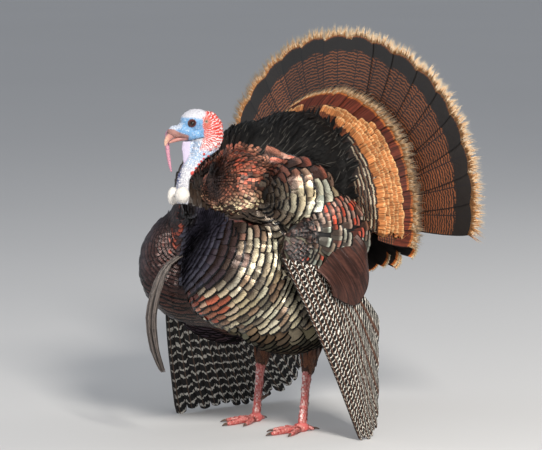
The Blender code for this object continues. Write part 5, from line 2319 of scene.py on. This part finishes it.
# ------------------------------------------------------------------ beard
@dataclass
class Beard:
    """A tassel of coarse bristles hung from the middle of the breast."""

    strands: int = 420
    bundles: int = 64
    sections: int = 12
    thick: float = 0.0010
    reach: float = 0.3  # length of a bristle
    loose: float = 0.09  # how far bristles stray from their bundle, as a share of the tassel's width
    wave: float = 0.0011  # how far bristles swing to the side
    line: tuple[tuple[float, ...], ...] = (
        # centre, then half width and half thickness
        (0.000, -0.270, 0.415, 0.0080, 0.0050), (0.000, -0.318, 0.392, 0.0100, 0.0062),
        (-0.002, -0.348, 0.340, 0.0140, 0.0072), (-0.004, -0.360, 0.280, 0.0150, 0.0078),
        (-0.004, -0.354, 0.222, 0.0140, 0.0068), (-0.002, -0.339, 0.175, 0.0105, 0.0050),
        (0.000, -0.331, 0.158, 0.0085, 0.0036))

    def strand(self) -> Card:
        """Models one bristle: a three-sided taper, extruded section by section.

        Returns:
            Its points and faces.
        """
        deselect()
        bpy.ops.mesh.primitive_circle_add(vertices=3, radius=1, fill_type="NGON", location=(0, 0, 0))
        obj = bpy.context.object
        with editing(obj):
            for _ in range(self.sections):
                bpy.ops.mesh.extrude_region_move(
                    TRANSFORM_OT_translate={"value": (0, 0, 1 / self.sections)})
            bpy.ops.mesh.select_all(action="SELECT")
            bpy.ops.mesh.quads_convert_to_tris()
            bpy.ops.mesh.normals_make_consistent(inside=False)
        co, faces = taken(obj)
        return Card(co[:, 0], co[:, 2], co[:, 1], faces)

    def build(self) -> None:
        """Hangs the bristles."""
        card, rng = self.strand(), np.random.default_rng(SEED)
        plume, n = Plume(), self.strands
        bundle = rng.integers(0, self.bundles, n)
        spin, out = rng.uniform(0, 2 * math.pi, self.bundles), np.sqrt(rng.uniform(0, 1, self.bundles))
        spin, out = spin[bundle], out[bundle]
        wide = out * np.cos(spin) + rng.normal(0, self.loose, n)
        deep = out * np.sin(spin) + rng.normal(0, self.loose, n)
        tip = np.where(rng.random(n) > 0.45, rng.uniform(0.84, 1.0, n), rng.uniform(0.6, 0.92, n))
        share = card.along[None] * tip[:, None]
        row = smooth_line(self.line, share)
        turns = rng.uniform(20, 34, self.bundles)[bundle][:, None]
        wave = self.wave * np.sin(share * turns + spin[:, None])
        centre = row[..., :3].copy()
        centre[..., 0] += row[..., 3] * wide[:, None] + wave
        centre[..., 1] += row[..., 4] * deep[:, None]
        thick = self.thick * (1 - 0.6 * card.along) * rng.uniform(0.7, 1.1, (n, 1))
        centre[..., 0] += thick * card.across
        centre[..., 1] += thick * card.side
        tone = np.array(rgb(104, 95, 90)) * (rng.uniform(0.25, 1.9, self.bundles)[bundle]
                                             * rng.uniform(0.6, 1.4, n))[:, None]
        wide = np.broadcast_to(wide[:, None], share.shape)
        patch = np.stack([0.5 + 0.48 * wide, 0.02 + 0.96 * share], -1)
        plume.add(card, centre + SHIFT, np.full(share.shape, self.thick), self.reach * (1 - share),
                  np.full(n, self.reach), rng.random(n), tone, patch)
        finish = VaneFinish("beard_bristles", (Zone(1.0),), streak=0.5, fine=60, roughness=0.55,
                            relief=0.0001)
        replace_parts(plume.piece("beard_bristles", finish.make(), "beard_bristle"), "beard")


# ------------------------------------------------------------------ head furniture and horn
def rounded(node: str, name: str, levels: int) -> bpy.types.Object:
    """A copy of one CAD node with its faces rounded off, shaded smooth.

    Args:
        node: The CAD node that it stands for.
        name: The object's name.
        levels: How often its faces are divided.

    Returns:
        The new object.
    """
    obj = copy_of([node], name)
    rounder = obj.modifiers.new("Rounder", "SUBSURF")
    rounder.levels = rounder.render_levels = levels
    apply_all(obj)
    smooth(obj)
    return obj


@dataclass
class Furniture:
    """Bill, eyes, claws and spurs."""

    eye_segments: int = 48
    cornea: float = 0.0007  # how far the middle of an eye stands out
    nostril: float = 0.0012  # how deep the slit in the upper half of the bill is

    def bill(self, node: str) -> None:
        """A smooth half of the bill, with the slit of a nostril on the upper one, painted dark as painted
        shade in its hollow.

        Args:
            node: The CAD node that it stands for.
        """
        obj = rounded(node, node.replace("bill_", "bill_horn_"), 3)
        local = carried(HEAD.inverted(), points_of(obj))
        normals = normals_of(obj)
        u, v, w = local.T
        slit = np.exp(-((u - 0.033) / 0.0052) ** 2 - ((w + 0.0210 + 0.55 * (u - 0.033)) / 0.0017) ** 2)
        if node != "bill_upper":
            slit = slit * 0
        groove = 0.0002 * np.sin(u * 2400 + 3 * grain(local, 200))
        set_points(obj, points_of(obj) - normals * (self.nostril * slit + groove)[:, None])
        tone = filled(rgb(200, 142, 132), len(u))
        tone = blend(step(0.044, 0.056, u + 0.2 * (-w - 0.03)), tone, rgb(224, 178, 156))
        tone = blend(step(0.034, 0.016, u) * 0.6, tone, rgb(150, 112, 116))
        stained = 0.45 * step(0.2, 0.6, grain(local * np.array([0.4, 1, 1]), 700))
        tone = blend(stained, tone, rgb(150, 96, 80))
        # Painted shade: the nostril's slit is painted dark brown.
        tone = blend(np.clip(slit * 1.4, 0, 1), tone, rgb(58, 34, 34))
        set_attribute(obj.data, "tone", Kind.COLOUR, tone)
        paint = Paint("bill_horn_" + node)
        place = paint.place()
        colour = paint.dim(paint.tint("tone"), 0.88 + paint.noise(place, 700.0, 4.0) * 0.24)
        rough = 0.30 + paint.noise(place, 500.0) * 0.2
        normal = paint.bump(paint.noise(place, 900.0, 3.0), 0.0002, 0.5)
        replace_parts(dressed(obj, paint.done(colour, rough, normal)), node)

    def eye(self, which: str, side: int) -> None:
        """One eyeball with a raised cornea, dark pupil and brown iris.

        Args:
            which: Left or right.
            side: 1 on the left, -1 on the right.
        """
        deselect()
        centre = HEAD @ Vector((0, side * EYE_SPREAD, 0))
        bpy.ops.mesh.primitive_uv_sphere_add(segments=self.eye_segments, ring_count=32,
                                             radius=EYE_RADIUS, location=centre)
        obj = bpy.context.object
        obj.name = f"eyeball_{which}"
        pick(obj)
        bpy.ops.object.transform_apply(location=True, rotation=True, scale=True)
        local = carried(HEAD.inverted(), points_of(obj))
        out = local - np.array([0, side * EYE_SPREAD, 0])
        radial = np.hypot(out[:, 0], out[:, 2]) + 1.0 * (out[:, 1] * side < 0)
        swell = self.cornea * step(0.0045, 0.0010, radial)
        set_points(obj, points_of(obj) + normals_of(obj) * swell[:, None])
        set_attribute(obj.data, "radial", Kind.VECTOR, np.stack([radial, out[:, 0], out[:, 2]], 1))
        smooth(obj)
        paint = Paint(f"eye_{which}_surface")
        plan = paint.read("radial")
        middle, level, height = [paint.part(plan, axis) for axis in range(3)]
        iris = paint.mix(paint.noise(plan, 900.0), rgb(34, 16, 11), rgb(66, 34, 22))
        colour = paint.mix(1 - paint.rise(middle, 0.0033, 0.0037), iris, rgb(6, 5, 6))
        colour = paint.mix(paint.rise(middle, 0.0054, 0.0062), colour, rgb(40, 24, 20))
        lidded = abs(height) + abs(level) * 0.30
        colour = paint.mix(paint.rise(lidded, 0.0054, 0.0060), colour, rgb(84, 36, 30))
        material = paint.done(colour, 0.12, Specular_IOR_Level=0.3, Coat_Weight=0.6, Coat_Roughness=0.03)
        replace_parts(dressed(obj, material), f"eye_{which}")

    def horn(self, node: str) -> None:
        """A claw or spur, smooth, mottled dark and paler brown.

        Args:
            node: The CAD node that it stands for.
        """
        obj = rounded(node, node + "_horn", 2)
        paint = Paint("claw_horn_" + node)
        place = paint.place()
        colour = paint.mix(paint.noise(place, 260.0, 3.0), rgb(46, 34, 30), rgb(116, 90, 74))
        normal = paint.bump(paint.noise(place, 1200.0, 2.0), 0.0002, 0.5)
        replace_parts(dressed(obj, paint.done(colour, 0.35, normal)), node)

    def build(self) -> None:
        """Makes them all."""
        for node in ("bill_upper", "bill_lower"):
            self.bill(node)
        for which, side in SIDES.items():
            self.eye(which, side)
        for node in sorted(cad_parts):
            if node.startswith(("claw_", "spur_")):
                self.horn(node)


# ------------------------------------------------------------------ stage
@dataclass
class Stage:
    """Pale floor, soft lights and the camera."""

    aim: Place = (-0.0530, 0.0637, 0.4483)
    towards: Place = (0.76034, -0.63800, 0.12187)
    distance: float = 7.0
    lens: float = 206.9

    def build(self) -> None:
        """Places floor, lights, sky and camera."""
        deselect()
        bpy.ops.mesh.primitive_grid_add(x_subdivisions=8, y_subdivisions=8, size=60, location=(0, 0, 0))
        floor = bpy.context.object
        floor.name = "floor"
        paint = Paint("studio_floor")
        pale = paint.noise(paint.place(), 0.6, 2.0) * 0.03 + 0.62
        floor.data.materials.append(paint.done(paint.grey(pale), 0.9))
        for name, place, size, power, colour in (
            ("key", (3.5, -1.5, 2.9), 0.9, 230, (1.0, 0.95, 0.88)),
            ("fill", (-3.0, -3.6, 2.2), 3.0, 40, (0.88, 0.94, 1.0)),
            ("rim", (0.6, 3.8, 3.0), 2.0, 50, (1.0, 0.97, 0.92)),
        ):
            light = bpy.data.lights.new(name, "AREA")
            light.energy, light.size, light.color = power, size, colour
            lamp = bpy.data.objects.new(name, light)
            lamp.location = place
            lamp.rotation_euler = (Vector(place) - Vector((0, 0, 0.4))).to_track_quat("Z", "Y").to_euler()
            bpy.context.scene.collection.objects.link(lamp)
        world = bpy.data.worlds.new("studio")
        world.use_nodes = True
        sky = world.node_tree.nodes["Background"]
        sky.inputs[0].default_value = (0.84, 0.88, 0.95, 1)
        sky.inputs[1].default_value = 0.42
        bpy.context.scene.world = world
        eye = bpy.data.cameras.new("camera")
        eye.lens, eye.sensor_width = self.lens, 36
        camera = bpy.data.objects.new("camera", eye)
        towards = Vector(self.towards)
        camera.location = Vector(self.aim) + towards * self.distance
        camera.rotation_euler = towards.to_track_quat("Z", "Y").to_euler()
        bpy.context.scene.collection.objects.link(camera)
        bpy.context.scene.camera = camera
        bpy.context.scene.view_settings.view_transform = "Standard"


def main() -> None:
    """Builds the model piece by piece."""
    logging.basicConfig(level=logging.INFO, format="%(message)s")
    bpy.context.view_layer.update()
    Stage().build()
    grounds = Skin().build()
    card, barb = model_card(4, 6), model_barb()
    BodyPlumage().build(grounds["body"], card)
    LegScales().build(grounds["legs"], model_card(3, 3))
    Bristles().build(grounds["head"], barb)
    Tail().build(model_card(8, 24), card, barb)
    Wings().build(model_card(6, 20))
    Beard().build()
    Furniture().build()


if __name__ == "__main__":
    main()
